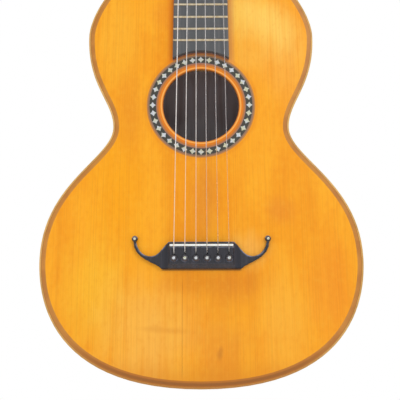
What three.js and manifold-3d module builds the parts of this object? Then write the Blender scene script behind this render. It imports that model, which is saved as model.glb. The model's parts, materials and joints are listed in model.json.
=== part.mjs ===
import * as THREE from 'three';
import { mergeVertices } from 'three/addons/utils/BufferGeometryUtils.js';
import Module from 'manifold-3d';

const wasm = await Module();
wasm.setup();

// Sizes are in millimetres. X runs across the strings with the basses at minus X, Y runs from the
// soundboard's face at zero to the back, and Z runs up the neck from the nut's front edge at zero.

// Scale and body
const scaleLength = 608;
const bodyJoinFret = 12;
const bodyLength = 431.4;
const lowerHalfWidth = 150.1;
const waistHalfWidth = 85.1;
const upperHalfWidth = 111.8;
const shoulderHalfWidth = 27;
const shoulderDepth = 76;
const tailDepth = 88;
const lowerWidestShare = 0.2677;
const waistShare = 0.5606;
const upperWidestShare = 0.7799;
const tailHandleShares = [0.892, 0.329];
const lowerHandleShares = [0.574, 0.239];
const upperHandleShares = [0.279, 0.551];
const shoulderHandleShares = [0.371, 0.448];
const outlineSteps = 9;

// Body shell
const soundboardThickness = 2.5;
const backThickness = 2.5;
const ribThickness = 2.4;
const bindingWidth = 1.6;
const bindingDepth = 5;
const purflingWidth = 4.2;
const purflingDepth = 1.5;
const liningWidth = 6;
const liningDepth = 14;
const liningToe = 4;
const neckBlockHalfWidth = 32;
const neckBlockHeight = 34;
const tailBlockHalfWidth = 36;
const tailBlockHeight = 22;

// Braces
const braceWidth = 8;
const soundboardBraceDepth = 15;
const backBraceDepth = 13;
const braceToe = 3;
const braceScoop = 34;
const soundboardBraceShares = [0.722, 0.497];
const lowestBraceShare = 0.5;
const backBraceShares = [0.79, 0.32];

// Sound hole and rosette
const holeHeightShare = 0.6138;
const holeRadius = 37;
const rosetteInnerRadius = 43;
const rosetteOuterRadius = 53;
const rosetteDepth = 1.2;
const starCount = 36;
const starRingRadius = 47;
const starTipRadius = 3;
const starWaistRadius = 1.7;
const starPocketDepth = 0.6;
const ringSides = 56;

// Fingerboard, nut and frets
const nutHalfWidth = 22;
const fingerboardEndHalfWidth = 27.7;
const fingerboardThickness = 5;
const fingerboardEndRadius = 54.7;
const fretCrownWidth = 2.2;
const fretCrownHeight = 1;
const fretTangWidth = 0.6;
const fretTangDepth = 1.5;
const lastFretMargin = 6;
const nutThickness = 5;
const nutHeight = 7.6;
const nutSlotDepth = 1.2;
const nutRound = 1.4;

// Neck and headstock
const neckDepthAtNut = 15;
const neckDepthAtBody = 18;
const heelLength = 52;
const headBlendLength = 26;
const neckPowers = [0.3, 0.85, 1.9];
const blendPower = 0.6;
const heelDepthPower = 3.2;
const heelWidthPower = 1.5;
const headTilt = THREE.MathUtils.degToRad(12);
const headLength = 165;
const headThickness = 15;
const lowerLobeHalfWidth = 34;
const headWaistHalfWidth = 28.5;
const upperLobeHalfWidth = 32.5;

// Tuning pegs
const pegOffset = 20;
const pegHeightShares = [0.22, 0.5, 0.78];
const pegRadius = 3.3;
const pegPostLength = 14;
const pegChamferShare = 0.95;
const pegTipShare = 0.7;
const pegHoleRadius = 0.9;
const pegHoleFromEnd = 3;
const pegCollarRadius = 5.4;
const pegCollarLength = 2;
const pegStemRadius = 2.7;
const pegStemLength = 7;
const pegHeadHalfHeight = 10.5;
const pegHeadHalfLength = 9;
const pegHeadHalfThickness = 3.4;
const pegButtonRadius = 1.9;

// Bridge and saddle
const bridgeThickness = 7;
const bridgeAboveSaddle = 3.2;
const bridgeBelowSaddle = 21.4;
const bridgeTopHalfWidth = 30.3;
const bridgeFootHalfWidth = 36.7;
const bridgeBevel = 4.5;
const bridgeArmThickness = 3.2;
const bridgeTipThickness = 2.6;
const bridgeArmSpan = 61.8;
const bridgeArmRise = 4.9;
const bridgeTipWidth = 2.4;
const bridgeEdgeRound = 1.3;
const bridgeBallRadius = 3;
const bridgeBallHeight = 3.9;
const bridgeBallRise = 6.4;
const bridgeBallShares = [[0, 0], [0.8, 0], [1, 0.35], [0.87, 0.7], [0.5, 0.93], [0, 1]];
const outerArmShares = [[0.675, -0.708], [1.029, -0.607]];
const innerArmShares = [[0.971, -0.164], [0.882, -0.463], [0.752, -0.463]];
const shoulderShares = [[0.631, -0.463], [0.583, -0.056]];
const saddleHalfLength = 29.1;
const saddleThickness = 2.1;
const saddleTop = 9.2;
const saddleSlotDepth = 5;

// Bridge pins
const pinBelowSaddle = 11.8;
const pinRadius = 2.4;
const pinTipRadius = 2;
const pinHeadRadius = 3.1;
const pinHeadHeight = 3.2;
const pinReach = 12;
const pinNeckHeight = 0.9;
const pinTipShares = [[0, 1], [0.6, 1], [1, 0.9]];
const pinHeadShares = [[1, 0], [1, 0.35], [0.8, 0.75], [0.4, 0.96], [0, 1]];

// Strings, from the lowest bass to the highest treble
const stringSpanAtNut = 36.3;
const stringSpanAtSaddle = 50.4;
const stringRadii = [0.55, 0.45, 0.38, 0.5, 0.42, 0.36];
const windingTurns = 3;
const windingSteps = 16;
const windingGap = 0.5;
const windingFaceGap = 1.6;
const stringSides = 6;
const stringOffset = 2.6;
const stringBend = 1.7;
const bendShare = 0.35;
const stringDropAngle = THREE.MathUtils.degToRad(32);
const stringTail = 2.6;
const knotRadius = 1.5;
const knotOffset = 4.6;
const knotDepth = 9;
const knotShares = [[-1, 0.35], [-0.6, 0.8], [0, 1], [0.6, 0.8], [1, 0.35]];

// Fit and cutting
const clearance = 0.3;
const overrun = 3;
const boreSides = 12;
const turnedSides = 12;

const bodyTop = -stopDistance(bodyJoinFret);
const bodyTail = bodyTop - bodyLength;
const holeHeight = bodyTail + holeHeightShare * bodyLength;
const pinHeight = -scaleLength - pinBelowSaddle;
const channelHeight = pinHeight + stringOffset;
const stringCount = stringRadii.length;

const finishes = {
  spruce: { color: '#e9a545', roughness: 0.35, metalness: 0 },
  rosewood: { color: '#5a3020', roughness: 0.4, metalness: 0 },
  maple: { color: '#d6ae69', roughness: 0.4, metalness: 0 },
  strip: { color: '#a1673a', roughness: 0.4, metalness: 0 },
  cedar: { color: '#9a6a44', roughness: 0.55, metalness: 0 },
  softwood: { color: '#cfae7e', roughness: 0.7, metalness: 0 },
  ebony: { color: '#2b2827', roughness: 0.35, metalness: 0 },
  bone: { color: '#efe8d6', roughness: 0.4, metalness: 0 },
  brass: { color: '#b5a06a', roughness: 0.3, metalness: 1 },
  woundString: { color: '#cfd0d2', roughness: 0.3, metalness: 1 },
  plainString: { color: '#e6e2d4', roughness: 0.3, metalness: 0 },
};

const guitar = new THREE.Group();

function piece(name, geometry, finish, parent = guitar) {
  const mesh = new THREE.Mesh(geometry, new THREE.MeshStandardMaterial(finish));
  mesh.name = name;
  parent.add(mesh);
  return mesh;
}

function stopDistance(fret) {
  const semitones = 12;
  return scaleLength * (1 - 2 ** (-fret / semitones));
}

function mix(from, to, share) {
  return from + (to - from) * share;
}

function backDepth(z) {
  return mix(shoulderDepth, tailDepth, (bodyTop - z) / bodyLength);
}

function atDepth(depth) {
  return () => depth;
}

function beforeBack(distance) {
  return (z) => backDepth(z) - distance;
}

// Solids: closed surfaces, joins and cuts
function facetted(geometry) {
  const flat = geometry.index ? geometry.toNonIndexed() : geometry;
  flat.computeVertexNormals();
  return flat;
}

function solidFrom(geometry) {
  const bare = geometry.clone();
  bare.deleteAttribute('normal');
  bare.deleteAttribute('uv');
  const merged = mergeVertices(bare);
  return new wasm.Manifold(new wasm.Mesh({
    numProp: 3,
    vertProperties: new Float32Array(merged.attributes.position.array),
    triVerts: new Uint32Array(merged.index.array),
  }));
}

function geometryFrom(solid) {
  const mesh = solid.getMesh();
  const geometry = new THREE.BufferGeometry();
  geometry.setAttribute('position', new THREE.BufferAttribute(mesh.vertProperties, 3));
  geometry.setIndex(new THREE.BufferAttribute(mesh.triVerts, 1));
  return facetted(geometry);
}

function cut(base, tools) {
  return geometryFrom(tools.reduce((solid, tool) => solid.subtract(solidFrom(tool)), solidFrom(base)));
}

function joined(parts) {
  const [first, ...others] = parts.map(solidFrom);
  return geometryFrom(others.reduce((solid, other) => solid.add(other), first));
}

function common(parts) {
  const [first, ...others] = parts.map(solidFrom);
  return geometryFrom(others.reduce((solid, other) => solid.intersect(other), first));
}

// A surface over rings of points, closed on itself or by two end caps
function skin(rings, capContour) {
  const sides = rings[0].length;
  const bands = capContour ? rings.length - 1 : rings.length;
  const triangles = [];
  for (let band = 0; band < bands; band += 1) {
    const here = band * sides;
    const there = ((band + 1) % rings.length) * sides;
    for (let side = 0; side < sides; side += 1) {
      const next = (side + 1) % sides;
      triangles.push([here + side, there + side, there + next]);
      triangles.push([here + side, there + next, here + next]);
    }
  }
  if (capContour) {
    const last = (rings.length - 1) * sides;
    for (const [a, b, c] of THREE.ShapeUtils.triangulateShape(capContour, [])) {
      triangles.push([a, b, c]);
      triangles.push([last + a, last + c, last + b]);
    }
  }
  return surface(rings.flat(), triangles);
}

function surface(points, triangles) {
  const volume = triangles.reduce((sum, [a, b, c]) => (
    sum + points[a].dot(new THREE.Vector3().crossVectors(points[b], points[c]))
  ), 0);
  const outward = volume > 0 ? triangles : triangles.map(([a, b, c]) => [a, c, b]);
  const geometry = new THREE.BufferGeometry();
  const positions = outward.flat().flatMap((corner) => points[corner].toArray());
  geometry.setAttribute('position', new THREE.Float32BufferAttribute(positions, 3));
  return facetted(geometry);
}

// An outline in X and Z between a front and a back surface
function plate(shape, front, back, curveSegments = ringSides / 2) {
  const geometry = new THREE.ExtrudeGeometry(shape, { depth: 1, bevelEnabled: false, curveSegments });
  const positions = geometry.attributes.position;
  for (let index = 0; index < positions.count; index += 1) {
    const z = positions.getY(index);
    const y = positions.getZ(index) > 0 ? front(z) : back(z);
    positions.setXYZ(index, positions.getX(index), y, z);
  }
  return facetted(geometry);
}

// A profile in Y and Z, drawn out across the strings
function prismAcross(profile, halfWidth, curveSegments = 5) {
  const depth = 2 * halfWidth;
  const geometry = new THREE.ExtrudeGeometry(profile, { depth, bevelEnabled: false, curveSegments });
  const turned = new THREE.Matrix4().makeBasis(
    new THREE.Vector3(0, 1, 0),
    new THREE.Vector3(0, 0, 1),
    new THREE.Vector3(1, 0, 0),
  );
  return geometry.applyMatrix4(turned).translate(-halfWidth, 0, 0);
}

// A profile in X and Y, drawn out along the neck
function prismAlong(profile, fromZ, toZ, curveSegments = 5) {
  const depth = toZ - fromZ;
  const geometry = new THREE.ExtrudeGeometry(profile, { depth, bevelEnabled: false, curveSegments });
  return geometry.translate(0, 0, fromZ);
}

function block(halfWidth, front, back, low, high, x = 0) {
  const box = new THREE.BoxGeometry(2 * halfWidth, back - front, high - low);
  return box.translate(x, (front + back) / 2, (low + high) / 2);
}

function drum(radius, sides, x, z, front, back) {
  return new THREE.CylinderGeometry(radius, radius, back - front, sides).translate(x, (front + back) / 2, z);
}

// A bore whose flats clear a round piece
function boreRadius(radius) {
  return (radius + clearance) / Math.cos(Math.PI / boreSides);
}

function shapeOf(points) {
  return new THREE.Shape(points.map(([x, y]) => new THREE.Vector2(x, y)));
}

// Body outline: four curves from the tail to the shoulder, with the inward direction at each point
function outlineCurves() {
  const lowerZ = bodyTail + lowerWidestShare * bodyLength;
  const waistZ = bodyTail + waistShare * bodyLength;
  const upperZ = bodyTail + upperWidestShare * bodyLength;
  const shoulderReach = upperHalfWidth - shoulderHalfWidth;
  const points = [
    [0, bodyTail],
    [tailHandleShares[0] * lowerHalfWidth, bodyTail],
    [lowerHalfWidth, mix(lowerZ, bodyTail, tailHandleShares[1])],
    [lowerHalfWidth, lowerZ],
    [lowerHalfWidth, mix(lowerZ, waistZ, lowerHandleShares[0])],
    [waistHalfWidth, mix(waistZ, lowerZ, lowerHandleShares[1])],
    [waistHalfWidth, waistZ],
    [waistHalfWidth, mix(waistZ, upperZ, upperHandleShares[0])],
    [upperHalfWidth, mix(upperZ, waistZ, upperHandleShares[1])],
    [upperHalfWidth, upperZ],
    [upperHalfWidth, mix(upperZ, bodyTop, shoulderHandleShares[0])],
    [shoulderHalfWidth + shoulderHandleShares[1] * shoulderReach, bodyTop],
    [shoulderHalfWidth, bodyTop],
  ].map(([x, z]) => new THREE.Vector2(x, z));
  const curves = [];
  for (let first = 0; first + 3 < points.length; first += 3) {
    curves.push(points.slice(first, first + 4));
  }
  return curves;
}

function curveStation(controls, t) {
  const curve = new THREE.CubicBezierCurve(...controls);
  const [first, second, third] = [0, 1, 2].map((leg) => controls[leg + 1].clone().sub(controls[leg]));
  const slope = first.multiplyScalar((1 - t) ** 2)
    .addScaledVector(second, 2 * (1 - t) * t)
    .addScaledVector(third, t ** 2)
    .normalize();
  return { point: curve.getPoint(t), inward: new THREE.Vector2(-slope.y, slope.x) };
}

function halfStations() {
  const stations = [];
  for (const controls of outlineCurves()) {
    for (let step = 0; step < outlineSteps; step += 1) {
      stations.push(curveStation(controls, step / outlineSteps));
    }
  }
  stations.push({ point: new THREE.Vector2(shoulderHalfWidth, bodyTop), inward: new THREE.Vector2(0, -1) });
  return stations;
}

function mirrored({ point, inward }) {
  return { point: new THREE.Vector2(-point.x, point.y), inward: new THREE.Vector2(-inward.x, inward.y) };
}

const trebleStations = halfStations();
const bassStations = trebleStations.map(mirrored);
const allStations = [...trebleStations, ...bassStations.slice(1).reverse()];
const topCentre = { point: new THREE.Vector2(0, bodyTop), inward: new THREE.Vector2(0, -1) };

function outlineShape(inset) {
  const moved = ({ point, inward }) => point.clone().addScaledVector(inward, inset);
  return new THREE.Shape(allStations.map(moved));
}

function halfWidthAt(z, inset) {
  const points = trebleStations.map(({ point, inward }) => point.clone().addScaledVector(inward, inset));
  const above = points.findIndex((point) => point.y >= z);
  const share = (z - points[above - 1].y) / (points[above].y - points[above - 1].y);
  return mix(points[above - 1].x, points[above].x, share);
}

// A section of [inset, depth rule] pairs carried round the outline
function sectionAt(station, section) {
  return section.map(([inset, depthRule]) => {
    const place = station.point.clone().addScaledVector(station.inward, inset);
    return new THREE.Vector3(place.x, depthRule(place.y), place.y);
  });
}

function aroundBody(section) {
  return skin(allStations.map((station) => sectionAt(station, section)));
}

function alongHalf(stations, section) {
  const contour = section.map(([inset, depthRule]) => new THREE.Vector2(inset, depthRule(bodyTail)));
  const ordered = THREE.ShapeUtils.isClockWise(contour) ? section.slice().reverse() : section;
  const ends = ordered.map(([inset, depthRule]) => new THREE.Vector2(inset, depthRule(bodyTail)));
  return skin([...stations, topCentre].map((station) => sectionAt(station, ordered)), ends);
}

function bandSection(nearInset, farInset, front, back) {
  return [[nearInset, front], [farInset, front], [farInset, back], [nearInset, back]];
}

function addShell() {
  const insideBoard = atDepth(soundboardThickness);
  const rib = [
    [0, atDepth(bindingDepth)],
    [0, beforeBack(bindingDepth)],
    [bindingWidth, beforeBack(bindingDepth)],
    [bindingWidth, beforeBack(backThickness + clearance)],
    [ribThickness, beforeBack(backThickness + clearance)],
    [ribThickness, insideBoard],
    [bindingWidth, insideBoard],
    [bindingWidth, atDepth(bindingDepth)],
  ];
  piece('rib_bass', alongHalf(bassStations, rib), finishes.rosewood);
  piece('rib_treble', alongHalf(trebleStations, rib), finishes.rosewood);
  const backPlate = plate(outlineShape(bindingWidth), beforeBack(backThickness), beforeBack(0));
  const topBinding = bandSection(0, bindingWidth, atDepth(0), atDepth(bindingDepth));
  const backBinding = bandSection(0, bindingWidth, beforeBack(bindingDepth), beforeBack(0));
  const purflingEnd = bindingWidth + purflingWidth;
  const purfling = bandSection(bindingWidth, purflingEnd, atDepth(0), atDepth(purflingDepth));
  piece('back_plate', backPlate, finishes.rosewood);
  piece('top_binding', aroundBody(topBinding), finishes.maple);
  piece('back_binding', aroundBody(backBinding), finishes.maple);
  piece('top_purfling', aroundBody(purfling), finishes.strip);
  piece('top_lining', aroundBody(topLiningSection(0)), finishes.softwood);
  piece('back_lining', aroundBody(backLiningSection(0)), finishes.softwood);
}

// Linings taper from the ribs to a thin toe, and a margin grows them all round
function liningSection(margin, fromPlate) {
  const slope = (liningDepth - liningToe) / liningWidth;
  const near = ribThickness - margin;
  const far = ribThickness + liningWidth + margin;
  return [
    [near, fromPlate(-margin)],
    [far, fromPlate(-margin)],
    [far, fromPlate(liningToe + margin)],
    [near, fromPlate(liningDepth + margin + 2 * slope * margin)],
  ];
}

function topLiningSection(margin) {
  return liningSection(margin, (distance) => atDepth(soundboardThickness + distance));
}

function backLiningSection(margin) {
  return liningSection(margin, (distance) => beforeBack(backThickness + clearance + distance));
}

// End blocks fill the body from board to back and are notched for the linings
function addBlocks() {
  const inside = plate(
    outlineShape(ribThickness + clearance),
    atDepth(soundboardThickness),
    beforeBack(backThickness + clearance),
  );
  const notches = [
    aroundBody(topLiningSection(clearance)),
    aroundBody(backLiningSection(clearance)),
  ];
  const neckEnd = block(neckBlockHalfWidth, 0, tailDepth, bodyTop - neckBlockHeight, bodyTop);
  const tailEnd = block(tailBlockHalfWidth, 0, tailDepth, bodyTail, bodyTail + tailBlockHeight);
  piece('neck_block', cut(common([inside, neckEnd]), notches), finishes.softwood);
  piece('tail_block', cut(common([inside, tailEnd]), notches), finishes.softwood);
}

// A brace is scooped down to a thin toe at each end
function brace(z, depth) {
  const inset = ribThickness + liningWidth + clearance;
  const reach = Math.min(halfWidthAt(z - braceWidth / 2, inset), halfWidthAt(z + braceWidth / 2, inset));
  const toe = Math.sign(depth) * braceToe;
  const profile = new THREE.Shape();
  profile.moveTo(-reach, 0);
  profile.lineTo(-reach, toe);
  profile.quadraticCurveTo(-reach + braceScoop / 2, toe, -reach + braceScoop, depth);
  profile.lineTo(reach - braceScoop, depth);
  profile.quadraticCurveTo(reach - braceScoop / 2, toe, reach, toe);
  profile.lineTo(reach, 0);
  return prismAlong(profile, z - braceWidth / 2, z + braceWidth / 2);
}

function addBraces() {
  const bridgeFoot = -scaleLength - bridgeBelowSaddle;
  const heights = soundboardBraceShares.map((share) => bodyTail + share * bodyLength);
  const tailBlockTop = bodyTail + tailBlockHeight;
  heights.push(mix(bridgeFoot, tailBlockTop, lowestBraceShare));
  heights.forEach((height, index) => {
    const bar = brace(height, soundboardBraceDepth);
    piece(`top_brace_${index + 1}`, bar.translate(0, soundboardThickness, 0), finishes.spruce);
  });
  backBraceShares.forEach((share, index) => {
    const bar = brace(bodyTail + share * bodyLength, -backBraceDepth);
    const positions = bar.attributes.position;
    for (let point = 0; point < positions.count; point += 1) {
      const depth = backDepth(positions.getZ(point)) - backThickness - clearance;
      positions.setY(point, positions.getY(point) + depth);
    }
    piece(`back_brace_${index + 1}`, facetted(bar), finishes.spruce);
  });
}

function ringShape(innerRadius, outerRadius) {
  const shape = new THREE.Shape();
  shape.absarc(0, holeHeight, outerRadius, 0, 2 * Math.PI);
  const opening = new THREE.Path();
  opening.absarc(0, holeHeight, innerRadius, 0, 2 * Math.PI, true);
  shape.holes.push(opening);
  return shape;
}

// A four-pointed star whose long points follow the ring and its radius
function starPocket(angle) {
  const corners = 8;
  const points = [];
  for (let corner = 0; corner < corners; corner += 1) {
    const radius = corner % 2 ? starWaistRadius : starTipRadius;
    const turn = angle + (2 * Math.PI * corner) / corners;
    points.push([
      starRingRadius * Math.cos(angle) + radius * Math.cos(turn),
      holeHeight + starRingRadius * Math.sin(angle) + radius * Math.sin(turn),
    ]);
  }
  return plate(shapeOf(points), atDepth(-overrun), atDepth(starPocketDepth));
}

function addSoundboard() {
  const edge = bindingWidth + purflingWidth;
  const face = plate(outlineShape(edge), atDepth(0), atDepth(soundboardThickness));
  const ledge = plate(outlineShape(bindingWidth), atDepth(purflingDepth), atDepth(soundboardThickness));
  const hole = drum(holeRadius, ringSides, 0, holeHeight, -overrun, soundboardThickness + overrun);
  const inlay = ringShape(rosetteInnerRadius, rosetteOuterRadius);
  const channel = plate(inlay, atDepth(-overrun), atDepth(rosetteDepth));
  const board = cut(joined([face, ledge]), [hole, channel, ...pinPassages(soundboardThickness + overrun)]);
  piece('soundboard', board, finishes.spruce);

  const pockets = [];
  for (let star = 0; star < starCount; star += 1) {
    pockets.push(starPocket((2 * Math.PI * (star + 0.5)) / starCount));
  }
  const ring = plate(inlay, atDepth(0), atDepth(rosetteDepth));
  piece('rosette', cut(ring, pockets), finishes.ebony);
}

// Strings cross the nut and the saddle at even steps
function stringX(index, span) {
  return mix(-span / 2, span / 2, index / (stringCount - 1));
}

function nutStringY(index) {
  return -(nutHeight - nutSlotDepth) - clearance - stringRadii[index];
}

function saddleStringY(index) {
  return -saddleTop - clearance - stringRadii[index];
}

// Each pin's bore has a channel on the saddle side for its string
function pinPassages(back) {
  return stringRadii.flatMap((radius, index) => {
    const x = stringX(index, stringSpanAtSaddle);
    const front = -bridgeThickness - overrun;
    return [
      drum(boreRadius(pinRadius), boreSides, x, pinHeight, front, back),
      stringChannel(index, -bridgeThickness + pinNeckHeight, back),
    ];
  });
}

function stringChannel(index, front, back) {
  const radius = boreRadius(stringRadii[index]);
  return drum(radius, boreSides, stringX(index, stringSpanAtSaddle), channelHeight, front, back);
}

// The ramp lets a string drop from the saddle into its channel
function stringRamp(index) {
  const room = stringRadii[index] + clearance;
  const x = stringX(index, stringSpanAtSaddle);
  const far = channelHeight - boreRadius(stringRadii[index]);
  const near = channelHeight + boreRadius(stringRadii[index]);
  const floor = (z) => slopeY(index, z) + room / Math.cos(stringDropAngle);
  const profile = shapeOf([
    [-bridgeThickness - overrun, -scaleLength],
    [floor(-scaleLength), -scaleLength],
    [floor(near + stringBend), near + stringBend],
    [floor(near) + stringBend, near],
    [floor(near) + stringBend, far],
    [-bridgeThickness - overrun, far],
  ]);
  return prismAcross(profile, room).translate(x, 0, 0);
}

function slopeY(index, z) {
  return saddleStringY(index) + (-scaleLength - z) * Math.tan(stringDropAngle);
}

function curvePoints(controls, steps) {
  const curve = new THREE.CubicBezierCurve(...controls.map(([x, y]) => new THREE.Vector2(x, y)));
  return curve.getPoints(steps).map((point) => [point.x, point.y]);
}

// Half of the moustache outline, from the middle of its foot to the middle of its top edge
function bridgeHalf() {
  const armShare = ([across, up]) => [across * bridgeArmSpan, up * bridgeBelowSaddle];
  const outer = [
    [bridgeFootHalfWidth, -bridgeBelowSaddle],
    ...outerArmShares.map(armShare),
    [bridgeArmSpan + bridgeTipWidth / 2, bridgeArmRise],
  ];
  const inner = [
    [bridgeArmSpan - bridgeTipWidth / 2, bridgeArmRise],
    ...innerArmShares.map(armShare),
  ];
  const shoulder = [
    inner.at(-1),
    ...shoulderShares.map(armShare),
    [bridgeTopHalfWidth, bridgeAboveSaddle],
  ];
  const [armSteps, shoulderSteps] = [8, 5];
  return [
    ...curvePoints(outer, armSteps),
    ...curvePoints(inner, armSteps).slice(0, -1),
    ...curvePoints(shoulder, shoulderSteps),
  ].map(([x, z]) => [x, z - scaleLength]);
}

function bridgeHeightProfile() {
  const reach = bridgeArmSpan + overrun;
  const [foot, top] = [bridgeFootHalfWidth, bridgeTopHalfWidth];
  const [arm, face] = [-bridgeArmThickness, -bridgeThickness];
  const profile = new THREE.Shape();
  profile.moveTo(-reach, 0);
  profile.lineTo(-reach, -bridgeTipThickness);
  profile.lineTo(-foot, arm);
  profile.quadraticCurveTo(-top, arm, bridgeEdgeRound - top, face);
  profile.lineTo(top - bridgeEdgeRound, face);
  profile.quadraticCurveTo(top, arm, foot, arm);
  profile.lineTo(reach, -bridgeTipThickness);
  profile.lineTo(reach, 0);
  return profile;
}

function bridgeSideProfile() {
  const top = bridgeAboveSaddle - scaleLength;
  const foot = -bridgeBelowSaddle - scaleLength;
  return shapeOf([
    [0, foot - overrun],
    [-bridgeTipThickness, foot - overrun],
    [-bridgeTipThickness, foot],
    [-bridgeThickness, foot + bridgeBevel],
    [-bridgeThickness, top - bridgeEdgeRound],
    [-bridgeThickness + bridgeEdgeRound, top + overrun],
    [-bridgeArmThickness - bridgeEdgeRound, top + overrun],
    [-bridgeArmThickness - bridgeEdgeRound, top + bridgeBallRise + overrun],
    [0, top + bridgeBallRise + overrun],
  ]);
}

function bridgeBall(side) {
  const profile = bridgeBallShares.map(([radiusShare, heightShare]) => (
    new THREE.Vector2(radiusShare * bridgeBallRadius, -heightShare * bridgeBallHeight)
  )).reverse();
  const ball = new THREE.LatheGeometry(profile, turnedSides);
  return ball.translate(side * bridgeArmSpan, 0, bridgeBallRise - scaleLength);
}

function addBridge() {
  const half = bridgeHalf();
  const outline = shapeOf([...half, ...half.map(([x, z]) => [-x, z]).reverse()]);
  const slab = plate(outline, atDepth(-bridgeThickness - overrun), atDepth(0));
  const low = -scaleLength - bridgeBelowSaddle - overrun;
  const high = -scaleLength + bridgeBallRise + overrun;
  const carved = common([
    slab,
    prismAlong(bridgeHeightProfile(), low, high, 6),
    prismAcross(bridgeSideProfile(), bridgeArmSpan + overrun),
  ]);
  const whiskers = joined([carved, bridgeBall(-1), bridgeBall(1)]);
  const slotHalf = saddleThickness / 2 + clearance;
  const slot = block(
    saddleHalfLength + clearance,
    -bridgeThickness - overrun,
    saddleSlotDepth - bridgeThickness,
    -scaleLength - slotHalf,
    -scaleLength + slotHalf,
  );
  const ramps = stringRadii.map((radius, index) => stringRamp(index));
  piece('bridge', cut(whiskers, [slot, ...ramps, ...pinPassages(overrun)]), finishes.ebony);
}

function addSaddle() {
  const half = saddleThickness / 2;
  const foot = saddleSlotDepth - bridgeThickness - clearance;
  const profile = new THREE.Shape();
  profile.moveTo(foot, -half);
  profile.lineTo(foot, half);
  profile.lineTo(-saddleTop + half, half);
  profile.quadraticCurveTo(-saddleTop, half, -saddleTop, 0);
  profile.quadraticCurveTo(-saddleTop, -half, -saddleTop + half, -half);
  piece('saddle', prismAcross(profile, saddleHalfLength, 3).translate(0, 0, -scaleLength), finishes.bone);
}

function addPins() {
  const seat = -bridgeThickness - clearance;
  const profile = [
    ...pinTipShares.map(([radiusShare, reachShare]) => [radiusShare * pinTipRadius, reachShare * pinReach]),
    [pinRadius, seat],
    ...pinHeadShares.map(([radiusShare, heightShare]) => [
      radiusShare * pinHeadRadius,
      seat - heightShare * pinHeadHeight,
    ]),
  ].map(([radius, y]) => new THREE.Vector2(radius, y)).reverse();
  stringRadii.forEach((radius, index) => {
    const turned = new THREE.LatheGeometry(profile, turnedSides);
    const peg = turned.translate(stringX(index, stringSpanAtSaddle), 0, pinHeight);
    const groove = stringChannel(index, seat + pinNeckHeight, pinReach + overrun);
    piece(`bridge_pin_${index + 1}`, cut(peg, [groove]), finishes.ebony);
  });
}

function fingerboardHalfWidth(z) {
  return mix(nutHalfWidth, fingerboardEndHalfWidth, z / (holeHeight + fingerboardEndRadius));
}

function addFingerboard() {
  const endAngle = Math.acos(fingerboardEndHalfWidth / fingerboardEndRadius);
  const shape = new THREE.Shape();
  shape.moveTo(-nutHalfWidth, 0);
  shape.absarc(0, holeHeight, fingerboardEndRadius, Math.PI - endAngle, endAngle, true);
  shape.lineTo(nutHalfWidth, 0);
  const board = plate(shape, atDepth(-fingerboardThickness), atDepth(0), 10);
  const slots = [];
  const fretLine = holeHeight + fingerboardEndRadius + lastFretMargin;
  const crown = new THREE.Shape();
  const halfCrown = fretCrownWidth / 2;
  const top = -fingerboardThickness - fretCrownHeight;
  crown.moveTo(-fingerboardThickness, -halfCrown);
  crown.quadraticCurveTo(top, -halfCrown, top, 0);
  crown.quadraticCurveTo(top, halfCrown, -fingerboardThickness, halfCrown);
  crown.lineTo(-fingerboardThickness, fretTangWidth / 2);
  crown.lineTo(fretTangDepth - fingerboardThickness, fretTangWidth / 2);
  crown.lineTo(fretTangDepth - fingerboardThickness, -fretTangWidth / 2);
  crown.lineTo(-fingerboardThickness, -fretTangWidth / 2);
  for (let fret = 1; -stopDistance(fret) > fretLine; fret += 1) {
    const z = -stopDistance(fret);
    const slotHalf = fretTangWidth / 2 + clearance;
    const floor = fretTangDepth + clearance - fingerboardThickness;
    const front = -fingerboardThickness - overrun;
    slots.push(block(fingerboardEndHalfWidth + overrun, front, floor, z - slotHalf, z + slotHalf));
    const wire = prismAcross(crown, fingerboardHalfWidth(z) - clearance, 3).translate(0, 0, z);
    piece(`fret_${String(fret).padStart(2, '0')}`, wire, finishes.brass);
  }
  piece('fingerboard', cut(board, slots), finishes.ebony);
}

function addNut() {
  const profile = new THREE.Shape();
  profile.moveTo(0, 0);
  profile.lineTo(-nutHeight, 0);
  profile.lineTo(-nutHeight, nutThickness - nutRound);
  profile.quadraticCurveTo(-nutHeight, nutThickness, -nutHeight + nutRound, nutThickness);
  profile.lineTo(0, nutThickness);
  const slots = stringRadii.map((radius, index) => block(
    radius + clearance,
    -nutHeight - overrun,
    nutSlotDepth - nutHeight,
    -overrun,
    nutThickness + overrun,
    stringX(index, stringSpanAtNut),
  ));
  piece('nut', cut(prismAcross(profile, nutHalfWidth), slots), finishes.bone);
}

// Half section of the neck: flat under the fingerboard, round in the hand, narrow at the heel
function neckRing(halfWidth, depth, widthPower, depthPower, heightAt) {
  const arcs = 16;
  const ring = [];
  for (let step = 0; step <= arcs; step += 1) {
    const angle = (Math.PI * step) / arcs;
    const across = Math.cos(angle);
    const x = step === arcs / 2 ? 0 : Math.sign(across) * halfWidth * Math.abs(across) ** widthPower;
    const y = step % arcs === 0 ? 0 : depth * Math.sin(angle) ** depthPower;
    ring.push(new THREE.Vector3(x, y, heightAt(y)));
  }
  return ring;
}

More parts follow.
